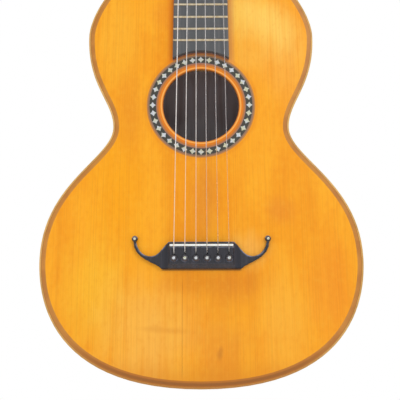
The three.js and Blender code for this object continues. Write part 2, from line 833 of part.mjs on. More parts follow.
function addNeck() {
  const [square, round, narrow] = neckPowers;
  const headCut = (y) => nutThickness - (clearance + y * Math.sin(headTilt)) / Math.cos(headTilt);
  const rings = [neckRing(nutHalfWidth, headThickness, square, square, headCut)];
  const blendSteps = 5;
  for (let step = 1; step <= blendSteps; step += 1) {
    const z = mix(-headThickness * Math.tan(headTilt), -headBlendLength, step / blendSteps);
    const power = mix(square, round, (step / blendSteps) ** blendPower);
    const depth = mix(headThickness, neckDepthAtNut, step / blendSteps);
    rings.push(neckRing(fingerboardHalfWidth(z), depth, power, power, () => z));
  }
  const heelStart = bodyTop + heelLength;
  const heelSteps = 11;
  const heelDepth = shoulderDepth - backThickness - clearance;
  for (let step = 0; step <= heelSteps; step += 1) {
    const share = step / heelSteps;
    const z = mix(heelStart, bodyTop, share);
    const shaft = mix(neckDepthAtNut, neckDepthAtBody, z / bodyTop);
    const depth = mix(shaft, heelDepth, share ** heelDepthPower);
    const power = mix(round, narrow, share ** heelWidthPower);
    rings.push(neckRing(fingerboardHalfWidth(z), depth, power, mix(round, 1, share), () => z));
  }
  const contour = rings[0].map((point) => new THREE.Vector2(point.x, point.y));
  piece('neck', skin(rings, contour), finishes.cedar);
}

// Figure-of-eight headstock, tilted back behind the nut, with its six bores
const headstockGroup = new THREE.Group();
headstockGroup.position.z = nutThickness;
headstockGroup.rotation.x = -headTilt;
guitar.add(headstockGroup);

const headHalfShares = [
  [[0, 0], [0, 0.12], [1, 0.16], [1, 0.3]],
  [[1, 0.3], [1, 0.42], [2, 0.42], [2, 0.53]],
  [[2, 0.53], [2, 0.62], [3, 0.64], [3, 0.76]],
  [[3, 0.76], [3, 0.92], [3, 1], [4, 1]],
];

function addHeadstock() {
  const widths = [nutHalfWidth, lowerLobeHalfWidth, headWaistHalfWidth, upperLobeHalfWidth, 0];
  const half = [];
  const lobeSteps = 8;
  headHalfShares.forEach((controls, index) => {
    const placed = controls.map(([width, share]) => [widths[width], share * headLength]);
    half.push(...curvePoints(placed, lobeSteps).slice(index ? 1 : 0));
  });
  const outline = shapeOf([...half, ...half.slice(0, -1).map(([x, z]) => [-x, z]).reverse()]);
  const bores = pegPlaces().map(({ x, z }) => (
    drum(boreRadius(pegRadius), boreSides, x, z, -overrun, headThickness + overrun)
  ));
  const slab = plate(outline, atDepth(0), atDepth(headThickness));
  piece('headstock', cut(slab, bores), finishes.cedar, headstockGroup);
}

// Pegs by string: the outer strings take the lowest pair, the middle ones the highest
function pegPlaces() {
  return stringRadii.map((radius, index) => {
    const onBass = index < stringCount / 2;
    const row = onBass ? index : stringCount - 1 - index;
    return { x: onBass ? -pegOffset : pegOffset, z: pegHeightShares[row] * headLength };
  });
}

function pegGeometry() {
  const seat = headThickness + clearance;
  const stemStart = seat + pegCollarLength;
  const headCentre = stemStart + pegStemLength + pegHeadHalfLength / 2;
  const profile = [
    [0, headCentre],
    [pegStemRadius, headCentre],
    [pegStemRadius, stemStart],
    [pegCollarRadius, stemStart],
    [pegCollarRadius, seat],
    [pegRadius, seat],
    [pegRadius, -pegChamferShare * pegPostLength],
    [pegTipShare * pegRadius, -pegPostLength],
    [0, -pegPostLength],
  ].map(([radius, y]) => new THREE.Vector2(radius, y)).reverse();
  const turned = new THREE.LatheGeometry(profile, turnedSides);
  const grip = new THREE.SphereGeometry(1, 10, 6);
  grip.scale(pegHeadHalfThickness, pegHeadHalfLength, pegHeadHalfHeight);
  const button = new THREE.SphereGeometry(pegButtonRadius, 6, 4);
  const whole = joined([
    turned,
    grip.translate(0, headCentre, 0),
    button.translate(0, headCentre + pegHeadHalfLength, 0),
  ]);
  const hole = new THREE.CylinderGeometry(pegHoleRadius, pegHoleRadius, 4 * pegRadius, 8);
  hole.rotateZ(Math.PI / 2).translate(0, pegHoleFromEnd - pegPostLength, 0);
  return cut(whole, [hole]);
}

function addPegs() {
  pegPlaces().forEach(({ x, z }, index) => {
    const peg = piece(`tuning_peg_${index + 1}`, pegGeometry(), finishes.ebony, headstockGroup);
    peg.position.set(x, 0, z);
  });
}

// A string is one tube: coil on its post, nut, saddle, ramp, channel and knot
function coilPoints(index) {
  const place = pegPlaces()[index];
  const toCentre = -Math.sign(place.x);
  const radius = pegRadius + clearance + stringRadii[index];
  const start = new THREE.Vector2(toCentre * stringX(index, stringSpanAtNut), 0);
  const post = new THREE.Vector2(-pegOffset, place.z);
  const leave = Math.atan2(start.x - post.x - radius, place.z);
  const pitch = 2 * stringRadii[index] + windingGap;
  const points = [];
  for (let step = 0; step <= windingTurns * windingSteps; step += 1) {
    const angle = leave + (2 * Math.PI * step) / windingSteps;
    const height = windingFaceGap + (pitch * step) / windingSteps;
    points.push(new THREE.Vector3(
      toCentre * (post.x + radius * Math.cos(angle)),
      -height,
      post.y + radius * Math.sin(angle),
    ));
  }
  const end = leave + 2 * Math.PI * windingTurns;
  const tail = new THREE.Vector3(-toCentre * Math.sin(end), 0, Math.cos(end));
  points.push(points.at(-1).clone().addScaledVector(tail, stringTail));
  headstockGroup.updateMatrixWorld(true);
  return points.map((point) => point.applyMatrix4(headstockGroup.matrixWorld)).reverse();
}

function stringPath(index) {
  const nutX = stringX(index, stringSpanAtNut);
  const x = stringX(index, stringSpanAtSaddle);
  const bendEnd = slopeY(index, channelHeight) + stringBend;
  const crest = saddleThickness / 3;
  const behindNut = nutThickness + clearance;
  const bendStart = slopeY(index, channelHeight + stringBend);
  const path = [
    new THREE.Vector3(nutX, nutStringY(index), behindNut),
    new THREE.Vector3(nutX, nutStringY(index), 0),
    new THREE.Vector3(x, saddleStringY(index), -scaleLength + crest),
    new THREE.Vector3(x, slopeY(index, -scaleLength - crest), -scaleLength - crest),
    new THREE.Vector3(x, bendStart, channelHeight + stringBend),
    new THREE.Vector3(x, mix(bendStart, bendEnd, bendShare), channelHeight + bendShare * stringBend),
    new THREE.Vector3(x, bendEnd, channelHeight),
    new THREE.Vector3(x, soundboardThickness + clearance, channelHeight),
  ];
  return { coil: coilPoints(index), path };
}

function stringTube(index) {
  const { coil, path } = stringPath(index);
  const radius = stringRadii[index];
  const x = stringX(index, stringSpanAtSaddle);
  const knotZ = pinHeight + knotOffset;
  const points = [...coil, ...path];
  const radii = points.map(() => radius);
  for (const [along, width] of knotShares) {
    points.push(new THREE.Vector3(x, knotDepth + along * knotRadius, knotZ));
    radii.push(Math.max(radius, width * knotRadius));
  }
  return tube(points, radii);
}

// Rings square to the path, each turned as little as possible from the one before
function tube(points, radii) {
  const legs = points.slice(1).map((point, index) => point.clone().sub(points[index]).normalize());
  let normal = new THREE.Vector3(0, 1, 0).cross(legs[0]).normalize();
  const contour = [];
  const rings = points.map((point, index) => {
    const before = legs[Math.max(index - 1, 0)];
    const after = legs[Math.min(index, legs.length - 1)];
    const along = before.clone().add(after).normalize();
    normal = normal.addScaledVector(along, -normal.dot(along)).normalize().clone();
    const side = new THREE.Vector3().crossVectors(along, normal);
    const ring = [];
    for (let corner = 0; corner < stringSides; corner += 1) {
      const angle = (2 * Math.PI * corner) / stringSides;
      ring.push(point.clone()
        .addScaledVector(normal, radii[index] * Math.cos(angle))
        .addScaledVector(side, radii[index] * Math.sin(angle)));
    }
    return ring;
  });
  for (let corner = 0; corner < stringSides; corner += 1) {
    const angle = (2 * Math.PI * corner) / stringSides;
    contour.push(new THREE.Vector2(Math.cos(angle), Math.sin(angle)));
  }
  return skin(rings, contour);
}

function leastCoilGap(index) {
  const points = coilPoints(index);
  let least = Infinity;
  points.forEach((point, first) => {
    for (let second = first + windingSteps / 2; second < points.length; second += 1) {
      least = Math.min(least, point.distanceTo(points[second]));
    }
  });
  return least - 2 * stringRadii[index];
}

function addStrings() {
  stringRadii.forEach((radius, index) => {
    const finish = index < stringCount / 2 ? finishes.woundString : finishes.plainString;
    piece(`string_${stringCount - index}`, stringTube(index), finish);
    const gap = leastCoilGap(index).toFixed(2);
    console.log(`string ${stringCount - index}: least gap of its winding ${gap} mm`);
  });
}

addSoundboard();
addShell();
addBlocks();
addBraces();
addFingerboard();
addNut();
addNeck();
addHeadstock();
addPegs();
addBridge();
addSaddle();
addPins();
addStrings();

export default guitar;
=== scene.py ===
# %% [markdown]
# # A romantic guitar, dressed for its photograph
# The solids of this guitar are already made and fixed: every board, peg and string has its place
# in metres, with Z up the neck and the soundboard facing minus Y. This lesson gives them their
# looks: finer edges, inlays, varnish, grain and light.

# %% Load the fixed solids
import json
from math import atan2, cos, pi, radians, sin, sqrt

import bmesh
import bpy
from mathutils import Matrix, Vector
from mathutils.kdtree import KDTree


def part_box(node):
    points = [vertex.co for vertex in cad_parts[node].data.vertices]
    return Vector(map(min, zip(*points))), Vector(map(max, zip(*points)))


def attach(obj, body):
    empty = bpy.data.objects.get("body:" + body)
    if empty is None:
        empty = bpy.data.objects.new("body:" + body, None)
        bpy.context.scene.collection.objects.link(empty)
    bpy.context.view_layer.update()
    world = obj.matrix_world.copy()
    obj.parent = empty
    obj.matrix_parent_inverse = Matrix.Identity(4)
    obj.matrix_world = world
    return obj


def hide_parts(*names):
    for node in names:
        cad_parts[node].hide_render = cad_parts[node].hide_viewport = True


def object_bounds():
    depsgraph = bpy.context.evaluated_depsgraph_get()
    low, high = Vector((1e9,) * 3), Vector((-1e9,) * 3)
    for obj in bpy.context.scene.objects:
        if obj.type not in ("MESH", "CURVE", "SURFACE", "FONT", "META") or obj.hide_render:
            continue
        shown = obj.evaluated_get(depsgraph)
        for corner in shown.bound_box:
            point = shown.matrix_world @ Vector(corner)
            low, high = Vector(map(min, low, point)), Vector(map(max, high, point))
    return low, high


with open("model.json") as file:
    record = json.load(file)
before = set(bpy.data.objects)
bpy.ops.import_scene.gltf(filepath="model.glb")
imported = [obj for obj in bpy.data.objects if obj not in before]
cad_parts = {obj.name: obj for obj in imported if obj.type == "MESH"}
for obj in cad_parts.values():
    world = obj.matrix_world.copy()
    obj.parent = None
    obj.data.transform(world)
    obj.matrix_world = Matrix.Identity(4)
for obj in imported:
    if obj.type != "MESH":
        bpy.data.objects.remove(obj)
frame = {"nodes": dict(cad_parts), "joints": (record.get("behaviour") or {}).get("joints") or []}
nodes = frame["nodes"]
joints = {joint["child"]: joint for joint in frame["joints"]}
cad_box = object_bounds()
MM = 0.001


def add_object(name, data):
    """Put a mesh, a lamp or a camera into the scene."""
    made = bpy.data.objects.new(name, data)
    bpy.context.scene.collection.objects.link(made)
    return made


print("solids:", len(nodes), "moving bodies:", len(joints))

# %% [markdown]
# The photograph was taken from half a metre away, with the guitar leaning back by ten degrees. A
# pinhole camera with the same lean and distance shows the same narrowing towards the neck, and
# hides the ribs behind the front's edge, so the camera is worked out from those numbers and not
# turned by eye.

# %% Camera at the photograph's place
IMAGE_PIXELS = 400
FOCAL_PIXELS = 508.4
SENSOR_WIDTH = 36
LEAN = radians(10)
ROLL = radians(-0.15)
CAMERA_DISTANCE = 0.48
AIM_POINT = Vector((-0.0012, 0, -0.5648))

forward = Vector((0, cos(LEAN), sin(LEAN)))
camera_data = bpy.data.cameras.new("photograph_camera")
camera_data.sensor_width = SENSOR_WIDTH
camera_data.lens = FOCAL_PIXELS / IMAGE_PIXELS * SENSOR_WIDTH
camera = add_object("photograph_camera", camera_data)
camera.location = AIM_POINT - forward * CAMERA_DISTANCE
turned_view = forward.to_track_quat("-Z", "Y").to_matrix() @ Matrix.Rotation(ROLL, 3, "Z")
camera.rotation_euler = turned_view.to_euler()
bpy.context.scene.camera = camera
print("camera at", tuple(round(value, 3) for value in camera.location))

# %% [markdown]
# A finish is a small network of nodes, and so is a rule that sets out frets. Written as ordinary
# Python expressions they stay readable, so one class wraps a socket and adds a Math node for each
# operator, and another makes every other node. A finish lays one colour over the next, as a
# painter does.

# %% Networks of nodes
def operators(operation):
    """The plain and the reflected method of a Python operator, which both add a Math node."""
    def plain(self, other):
        return self.network.math(operation, self, other)

    def reflected(self, other):
        return self.network.math(operation, other, self)

    return plain, reflected


class Field:
    """A value inside a network: one output socket of a node."""

    def __init__(self, network, socket):
        self.network = network
        self.socket = socket

    def __abs__(self):
        return self.network.math("ABSOLUTE", self)

    __add__, __radd__ = operators("ADD")
    __sub__, __rsub__ = operators("SUBTRACT")
    __mul__, __rmul__ = operators("MULTIPLY")
    __truediv__, __rtruediv__ = operators("DIVIDE")
    __pow__, __rpow__ = operators("POWER")


class Network:
    """A tree of nodes that is made from code."""

    def __init__(self, tree):
        self.tree = tree
        tree.nodes.clear()

    def node(self, kind, inputs=(), output=0, **settings):
        """Make a node: first its settings, then the values or links of its sockets."""
        made = self.tree.nodes.new(kind)
        for key, value in settings.items():
            setattr(made, key, value)
        pairs = inputs.items() if isinstance(inputs, dict) else enumerate(inputs)
        for key, value in pairs:
            self.feed(made.inputs[key], value)
        return Field(self, made.outputs[output])

    def feed(self, socket, value):
        if isinstance(value, Field):
            self.tree.links.new(value.socket, socket)
        else:
            socket.default_value = value

    def math(self, operation, *values):
        return self.node("ShaderNodeMath", values, operation=operation)

    def vector(self, x, y, z):
        return self.node("ShaderNodeCombineXYZ", [x, y, z])


def linear(colour):
    """A colour with values from 0 to 255, as a photograph's editor shows it, made linear."""
    shares = [value / 255 for value in colour]
    return [s / 12.92 if s <= 0.04045 else ((s + 0.055) / 1.055) ** 2.4 for s in shares] + [1]


class Finish(Network):
    """One material of the guitar. Its x, y, z and place are in millimetres."""

    def __init__(self, name):
        self.material = bpy.data.materials.new(name)
        self.material.use_nodes = True
        super().__init__(self.material.node_tree)
        self.colour = None
        self.shader = self.tree.nodes.new("ShaderNodeBsdfPrincipled")
        self.exit = self.tree.nodes.new("ShaderNodeOutputMaterial").inputs["Surface"]
        self.tree.links.new(self.shader.outputs[0], self.exit)
        place = self.node("ShaderNodeTexCoord", output="Object")
        scaled = {0: place, "Scale": 1 / MM}
        self.place = self.node("ShaderNodeVectorMath", scaled, operation="SCALE")
        split = self.node("ShaderNodeSeparateXYZ", [self.place]).socket.node
        self.x, self.y, self.z = [Field(self, socket) for socket in split.outputs]

    def noise(self, where, scale=1.0, detail=2.0, roughness=0.5):
        inputs = {"Vector": where, "Scale": scale, "Detail": detail, "Roughness": roughness}
        return self.node("ShaderNodeTexNoise", inputs)

    def stretched(self, sizes, detail=2.0, roughness=0.5, across=None):
        """Noise whose marks have these sizes along X, Y and Z, where 0 leaves an axis out."""
        axes = (self.x if across is None else across, self.y, self.z)
        scaled = [axis / size if size else 0 for axis, size in zip(axes, sizes)]
        return self.noise(self.vector(*scaled), 1.0, detail, roughness)

    def step(self, value, low, high):
        """0 up to low and 1 from high, with a smooth rise between."""
        inputs = {"Value": value, "From Min": low, "From Max": high}
        return self.node("ShaderNodeMapRange", inputs, interpolation_type="SMOOTHSTEP")

    def fall(self, value, low, high):
        return 1 - self.step(value, low, high)

    def band(self, value, low, high, soft):
        """1 between low and high and 0 outside, with soft borders."""
        return self.step(value, low - soft, low + soft) * self.fall(value, high - soft, high + soft)

    def blend(self, share, *colours):
        """Mix two colours, of which each is a Field or plain numbers."""
        first, second = [each if isinstance(each, Field) else linear(each) for each in colours]
        inputs = {0: share, 6: first, 7: second}
        return self.node("ShaderNodeMix", inputs, output=2, data_type="RGBA")

    def ground(self, share, first, second):
        """The first colour of the finish, mixed from two."""
        self.colour = self.blend(share, first, second)

    def lay(self, tint, share):
        """Lay a colour over those before it."""
        self.colour = self.blend(share, self.colour, tint)

    def surface(self, roughness, relief=None, depth=0.0, strength=0.5, coat=(0, 0.03), **more):
        """Give the shader its colour, gloss, bump in metres, and coat as (weight, roughness)."""
        values = {"base_color": self.colour, "roughness": roughness, **more}
        values["coat_weight"], values["coat_roughness"] = coat
        if relief:
            inputs = {"Height": relief, "Distance": depth, "Strength": strength}
            values["normal"] = self.node("ShaderNodeBump", inputs)
        for key, value in values.items():
            self.feed(self.shader.inputs[key.replace("_", " ").title()], value)
        return self.material


def distance(across, along):
    return (across * across + along * along) ** 0.5


# %% [markdown]
# The studio is plain: a pale floor below the hanging guitar, an even white surround, a wide lamp
# above the right shoulder and a weaker one at the left. The surround looks pure white to the
# camera, while its light on the wood is weaker, so that the varnish keeps its colour. Behind and
# far from the guitar, the floor fades to white for the camera alone, so that no horizon shows.

# %% Floor, surround and lamps
FLOOR_DROP = 0.08
FLOOR_REACH = 7
FADE_BEHIND = (60, 300)
FADE_ALL_ROUND = (500, 1800)
SURROUND_LIGHT = 0.68
SURROUND_SHOWN = 1.0
GLOSS_SHOWN = 0.5
LAMP_TARGET = Vector((0, 0, -0.5))
WHITE = (1, 1, 1, 1)

floor_height = cad_box[0].z - FLOOR_DROP
floor_mesh = bpy.data.meshes.new("floor")
square = [(-1, -1), (1, -1), (1, 1), (-1, 1)]
corners = [(x * FLOOR_REACH, y * FLOOR_REACH, floor_height) for x, y in square]
floor_mesh.from_pydata(corners, [], [(0, 1, 2, 3)])
floor = add_object("floor", floor_mesh)
pale = Finish("pale_floor")
pale.ground(pale.noise(pale.place, 0.02), (246, 246, 246), (250, 250, 250))
floor_mesh.materials.append(pale.surface(0.9))
far = pale.step(distance(pale.x, pale.y), *FADE_ALL_ROUND)
faded = 1 - (1 - far) * pale.fall(pale.y, *FADE_BEHIND)
seen = pale.node("ShaderNodeLightPath", output="Is Camera Ray")
white = pale.node("ShaderNodeEmission", {"Color": WHITE, "Strength": 1.0})
shade = Field(pale, pale.shader.outputs[0])
pale.feed(pale.exit, pale.node("ShaderNodeMixShader", {0: seen * faded, 1: shade, 2: white}))

world = bpy.data.worlds.new("surround")
bpy.context.scene.world = world
world.use_nodes = True
sky = Network(world.node_tree)
strength = SURROUND_LIGHT
for ray, shown in (("Is Camera Ray", SURROUND_SHOWN), ("Is Glossy Ray", GLOSS_SHOWN)):
    chosen = sky.node("ShaderNodeLightPath", output=ray)
    strength = sky.node("ShaderNodeMix", {0: chosen, 2: strength, 3: shown})
background = sky.node("ShaderNodeBackground", {"Color": WHITE, "Strength": strength})
sky.feed(sky.tree.nodes.new("ShaderNodeOutputWorld").inputs["Surface"], background)


def soft_lamp(name, place, width, power):
    """A square lamp of the given width that faces the guitar."""
    data = bpy.data.lights.new(name, "AREA")
    data.size = width
    data.energy = power
    lamp = add_object(name, data)
    lamp.location = place
    lamp.rotation_euler = (LAMP_TARGET - Vector(place)).to_track_quat("-Z", "Y").to_euler()


soft_lamp("key_lamp", (1.5, -2.0, 1.0), 1.4, 26)
soft_lamp("left_lamp", (-1.8, -1.6, -0.2), 1.2, 7)
bpy.context.scene.view_settings.view_transform = "Standard"

# %% [markdown]
# Every dressed piece is a mesh at the origin that rides on the body of the solid it stands for.
# These helpers build boards from outlines and other shapes from rows of points.

# %% Mesh helpers
WELD = 0.002 * MM
ROUNDED_ANGLE = 35
RIM_FACING = 0.6
RIM_RISE = 0.25


def dress(name, mesh_source, material, replaced, smooth_angle=40, body="guitar"):
    """Turn a bmesh into a finished piece that stands for some solids and rides on a body."""
    mesh = bpy.data.meshes.new(name)
    bmesh.ops.recalc_face_normals(mesh_source, faces=mesh_source.faces)
    mesh_source.to_mesh(mesh)
    mesh_source.free()
    mesh.polygons.foreach_set("use_smooth", [True] * len(mesh.polygons))
    mesh.set_sharp_from_angle(angle=radians(smooth_angle))
    piece = add_object(name, mesh)
    mesh.materials.append(material)
    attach(piece, body)
    if replaced:
        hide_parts(*replaced)
    print(name, len(mesh.polygons), "faces")


def prism(outline, openings, front, back):
    """A flat board with openings: points are (x, z), and front and back are rules that give y."""
    mesh = bmesh.new()
    edges = []
    for points in [outline, *openings]:
        corners = [mesh.verts.new((x, front(z), z)) for x, z in points]
        edges += [mesh.edges.new((here, corners[index - 1])) for index, here in enumerate(corners)]
    bmesh.ops.triangle_fill(mesh, edges=edges, use_beauty=True, normal=(0, -1, 0))
    walls = bmesh.ops.extrude_face_region(mesh, geom=list(mesh.faces))
    for part in walls["geom"]:
        if isinstance(part, bmesh.types.BMVert):
            part.co.y = back(part.co.z)
    mesh.normal_update()
    return mesh


def sharp_edges(mesh, angle):
    return [
        edge for edge in mesh.edges
        if len(edge.link_faces) == 2 and edge.calc_face_angle(0) > radians(angle)]


def round_edges(mesh, radius, chosen, segments=3):
    """Round the sharp edges that pass a test on their middle point."""
    sharp = [
        edge for edge in sharp_edges(mesh, ROUNDED_ANGLE)
        if chosen((edge.verts[0].co + edge.verts[1].co) / 2)]
    bmesh.ops.bevel(
        mesh, geom=sharp, offset=radius, offset_type="OFFSET", segments=segments, profile=0.5,
        affect="EDGES", clamp_overlap=True)


def circle(radius, sides, centre=(0, 0)):
    angles = [2 * pi * side / sides for side in range(sides)]
    return [(centre[0] + radius * cos(a), centre[1] + radius * sin(a)) for a in angles]


def quarter_round(radius):
    """What a rounded edge leaves of its corner, as (aside, ahead) pairs."""
    angles = [pi / 2 * step / 4 for step in range(5)]
    return [(radius * (1 - sin(a)), radius * (1 - cos(a))) for a in angles]


def rectangle(near, far, front, back):
    return [(near, front), (far, front), (far, back), (near, back)]


def join_rows(mesh, rows):
    """Faces between closed rows of points. A row of one point is a tip."""
    for first, second in zip(rows, rows[1:]):
        sides = max(len(first), len(second))
        for side in range(sides):
            follow = (side + 1) % sides
            near = first if len(first) == 1 else [first[side], first[follow]]
            far = second if len(second) == 1 else [second[follow], second[side]]
            mesh.faces.new(near + far)


def turned(profile, sides, place):
    """A turned shape from (radius, along) pairs that start and end on the axis."""
    mesh = bmesh.new()
    rows = []
    for radius, along in profile:
        ring = circle(radius, sides) if radius else [(0, 0)]
        rows.append([mesh.verts.new(place @ Vector((x, along, z))) for x, z in ring])
    join_rows(mesh, rows)
    return mesh


def mark_rims(mesh, near, far):
    """Store how close each point is to an edge: above 0 for upper edges, below 0 for lower."""
    mesh.normal_update()
    layer = mesh.verts.layers.float.new("rim")
    for sign in (1, -1):
        rim = [
            vertex.co for vertex in mesh.verts
            if abs(vertex.normal.y) < RIM_FACING and vertex.normal.z * sign > RIM_RISE]
        tree = KDTree(len(rim))
        for index, place in enumerate(rim):
            tree.insert(place, index)
        tree.balance()
        for vertex in mesh.verts:
            gap = tree.find(vertex.co)[2]
            vertex[layer] += sign * min(1, max(0, (far - gap) / (far - near)))


def copy_of(name):
    """A joined-up copy of a solid's loose triangles."""
    mesh = bmesh.new()
    mesh.from_mesh(nodes[name].data)
    bmesh.ops.remove_doubles(mesh, verts=mesh.verts, dist=WELD)
    return mesh


def modified(name, mesh, modifiers):
    """Run a bmesh through modifiers, given as (kind, settings) pairs."""
    data = bpy.data.meshes.new(name)
    mesh.to_mesh(data)
    mesh.free()
    carrier = add_object(name, data)
    for kind, settings in modifiers:
        modifier = carrier.modifiers.new(kind, kind)
        for key, value in settings.items():
            setattr(modifier, key, value)
    bpy.context.view_layer.update()
    evaluated = carrier.evaluated_get(bpy.context.evaluated_depsgraph_get())
    result = bmesh.new()
    result.from_mesh(bpy.data.meshes.new_from_object(evaluated))
    bpy.data.objects.remove(carrier)
    return result


# %% [markdown]
# The soundboard is spruce under an old amber varnish. Its grain is a comb of narrow year lines
# that wander slightly, so noise is stretched along the neck. Broad, slow noise gives the uneven
# ageing, and a list of soft ovals lays lighter and darker patches over it; among them are a painted
# highlight, the glare of light at the upper right, and painted shade below the bridge. The wood
# inside the rosette has turned a deeper orange, and beside the fingerboard it is deeper orange on
# the left and paler on the right. A pale ring round the hole's lip is a painted highlight, a thin
# dark line of painted shadow runs along the bridge's foot, and painted shade darkens the wood
# towards the tail.

# %% Spruce finish
hole_low, hole_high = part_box("rosette")
HOLE_HEIGHT = (hole_low.z + hole_high.z) / 2
ROSETTE_RADIUS = (hole_high.x - hole_low.x) / 2
HOLE_RADIUS = 37 * MM
ROSETTE_INNER = 43 * MM
YEAR_SPACING = 1.1
YEAR_WANDER = 5.0
BRIDGE_FOOT_SHADOW = (-630.8, -628, 0.5)
CRACK_X = -17.5
CRACK_HALF = 0.35

VARNISH_PATCHES_AND_PAINTED_LIGHT = [
    # middle x, middle z, half width, half height, lean in degrees, strength, colour
    # painted highlight, in this row and the next: the glare of light on the varnish at the upper
    # right
    (64, -382, 50, 24, 45, 0.8, (255, 212, 100)),
    (36, -378, 14, 26, 0, 0.5, (255, 214, 96)),
    (48, -418, 20, 26, 0, 0.4, (255, 200, 84)),
    (86, -430, 26, 40, 0, 0.3, (255, 196, 90)),
    (-84, -398, 26, 62, 0, 0.6, (255, 188, 48)),
    (-80, -556, 34, 76, 0, 0.6, (255, 172, 0)),
    (-98, -650, 34, 54, 0, 0.75, (255, 192, 44)),
    (-46, -690, 46, 56, 0, 0.65, (252, 192, 84)),
    (74, -676, 26, 56, 0, 0.5, (252, 186, 66)),
    # painted shade below the bridge, in this row and the next
    (6, -641, 50, 14, 0, 0.5, (224, 130, 6)),
    (24, -646, 28, 26, 0, 0.65, (228, 136, 28)),
    (42, -611, 22, 17, 0, 0.45, (255, 200, 100)),
    (20, -700, 30, 34, 0, 0.35, (226, 144, 50)),
    (74, -575, 15, 13, 20, 0.32, (226, 128, 46)),
    (3, -560, 13, 46, 0, 0.45, (218, 134, 52)),
    (-68, -480, 15, 42, 0, 0.55, (232, 136, 22)),
    (-40, -374, 12, 18, 0, 0.4, (236, 138, 30)),
    (118, -650, 24, 56, 0, 0.5, (246, 146, 34)),
    (-34, -684, 26, 3.2, 4, 0.3, (218, 132, 34)),
    (16.5, -705, 2.6, 6, 10, 0.5, (192, 112, 34)),
]
RINGS = [
    # round the sound hole: from, to and softness in millimetres, strength, colour
    (0, 43.6, 0.4, 0.75, (222, 112, 28)),
    (41.4, 44, 0.5, 0.8, (180, 120, 64)),
    # painted highlight on the rounded lip of the hole
    (38.1, 39.4, 0.5, 0.85, (255, 186, 92)),
    (0, 37.6, 0.3, 0.6, (150, 96, 50)),
    (52.5, 56, 2.0, 0.25, (220, 118, 20)),
]


def ring_distance(finish):
    """Distance from the middle of the sound hole, in millimetres."""
    return distance(finish.x, finish.z - HOLE_HEIGHT / MM)


def year_lines(finish):
    """Lines along Z: near 1 on the dark lines and 0 between them."""
    drift = finish.stretched((55, 0, 170), 1.0) - 0.5
    across = finish.x + drift * YEAR_WANDER
    return finish.step(finish.stretched((YEAR_SPACING, 0, 250), 3.0, 0.6, across), 0.42, 0.68)


def patch_reach(finish, x, z, half_width, half_height, lean):
    """0 in the middle of an oval and 1 at its edge."""
    across = finish.x - x
    along = finish.z - z
    turn = radians(lean)
    wide = (across * cos(turn) - along * sin(turn)) / half_width
    high = (across * sin(turn) + along * cos(turn)) / half_height
    return distance(wide, high)


def spruce_finish():
    finish = Finish("aged_spruce")
    lay, step, fall, band = finish.lay, finish.step, finish.fall, finish.band
    years = year_lines(finish)
    fibres = finish.stretched((1 / 1.9, 0, 1 / 0.035))
    silk = finish.stretched((9, 0, 2.4))
    clouds, mottle, streaks, flecks = [
        finish.stretched((wide, 0, high), 3.0)
        for wide, high in ((34, 90), (12, 26), (4.5, 130), (3.6, 6.5))]
    finish.ground(step(clouds, 0.36, 0.66), (249, 160, 20), (255, 174, 30))
    lay((240, 140, 6), step(mottle, 0.5, 0.72) * 0.2)
    ragged = (mottle + clouds + streaks * 0.5) * 0.7 - 0.87
    for *place, strength, tint in VARNISH_PATCHES_AND_PAINTED_LIGHT:
        lay(tint, fall(patch_reach(finish, *place) + ragged, 0.1, 1.4) * strength)
    lay((240, 142, 10), step(streaks, 0.48, 0.72) * 0.24)
    lay((230, 130, 10), step(flecks, 0.5, 0.72) * 0.16)
    lay((255, 196, 66), fall(flecks, 0.3, 0.5) * 0.12)
    lay((196, 104, 10), years * 0.15)
    lay((206, 118, 20), step(fibres, 0.5, 0.75) * 0.1)
    lay((255, 204, 90), step(silk, 0.55, 0.8) * 0.08)
    for near, far, soft, strength, tint in RINGS:
        lay(tint, band(ring_distance(finish), near, far, soft) * strength)
    off_axis = abs(finish.x)
    board_end = step(finish.z, -432, -426)
    beside = finish.blend(step(finish.x, -1, 1), (236, 120, 16), (228, 152, 84))
    lay(beside, fall(off_axis, 29, 36) * board_end * 0.6)
    lay((166, 108, 80), fall(off_axis, 26.5, 28.5) * board_end * 0.9)
    # painted shadow: a thin dark line along the bridge's foot
    foot_shadow = band(finish.z, *BRIDGE_FOOT_SHADOW) * fall(off_axis, 35, 38)
    lay((112, 78, 42), foot_shadow * 0.8)
    # painted shade: the soundboard darker towards the tail
    lay((214, 132, 30), fall(finish.z, -733, -704) * 0.5)
    crack_side = finish.x - CRACK_X + (silk - 0.5) * 0.8
    crack = band(crack_side, -CRACK_HALF, CRACK_HALF, 0.25)
    lay((150, 78, 20), crack * band(finish.z, -724, -640, 6) * 0.35)
    finish.shader.inputs["Specular IOR Level"].default_value = 0.22
    return finish.surface(
        0.3 + fibres * 0.1 + clouds * 0.08, years * 0.6 + fibres * 0.4, 0.00003, coat=(0.08, 0.12))


SPRUCE = spruce_finish()

# %% [markdown]
# The ribs and back are rosewood: nearly black streaks in a red-brown ground. The back is one board
# sawn in two and opened like a book, so its streaks mirror each other across a thin pale line.
# The same streaks, seen through the sound hole, are the raw inside of the back, painted far paler
# than the wood and paler still towards the neck: painted light where the inside of the body lies in
# shade. The bindings and the brown strip inside the front one darken round the tail.

# %% Rosewood, bindings and inner wood
STREAK_WANDER = 14
INNER_MARGIN = 0.4


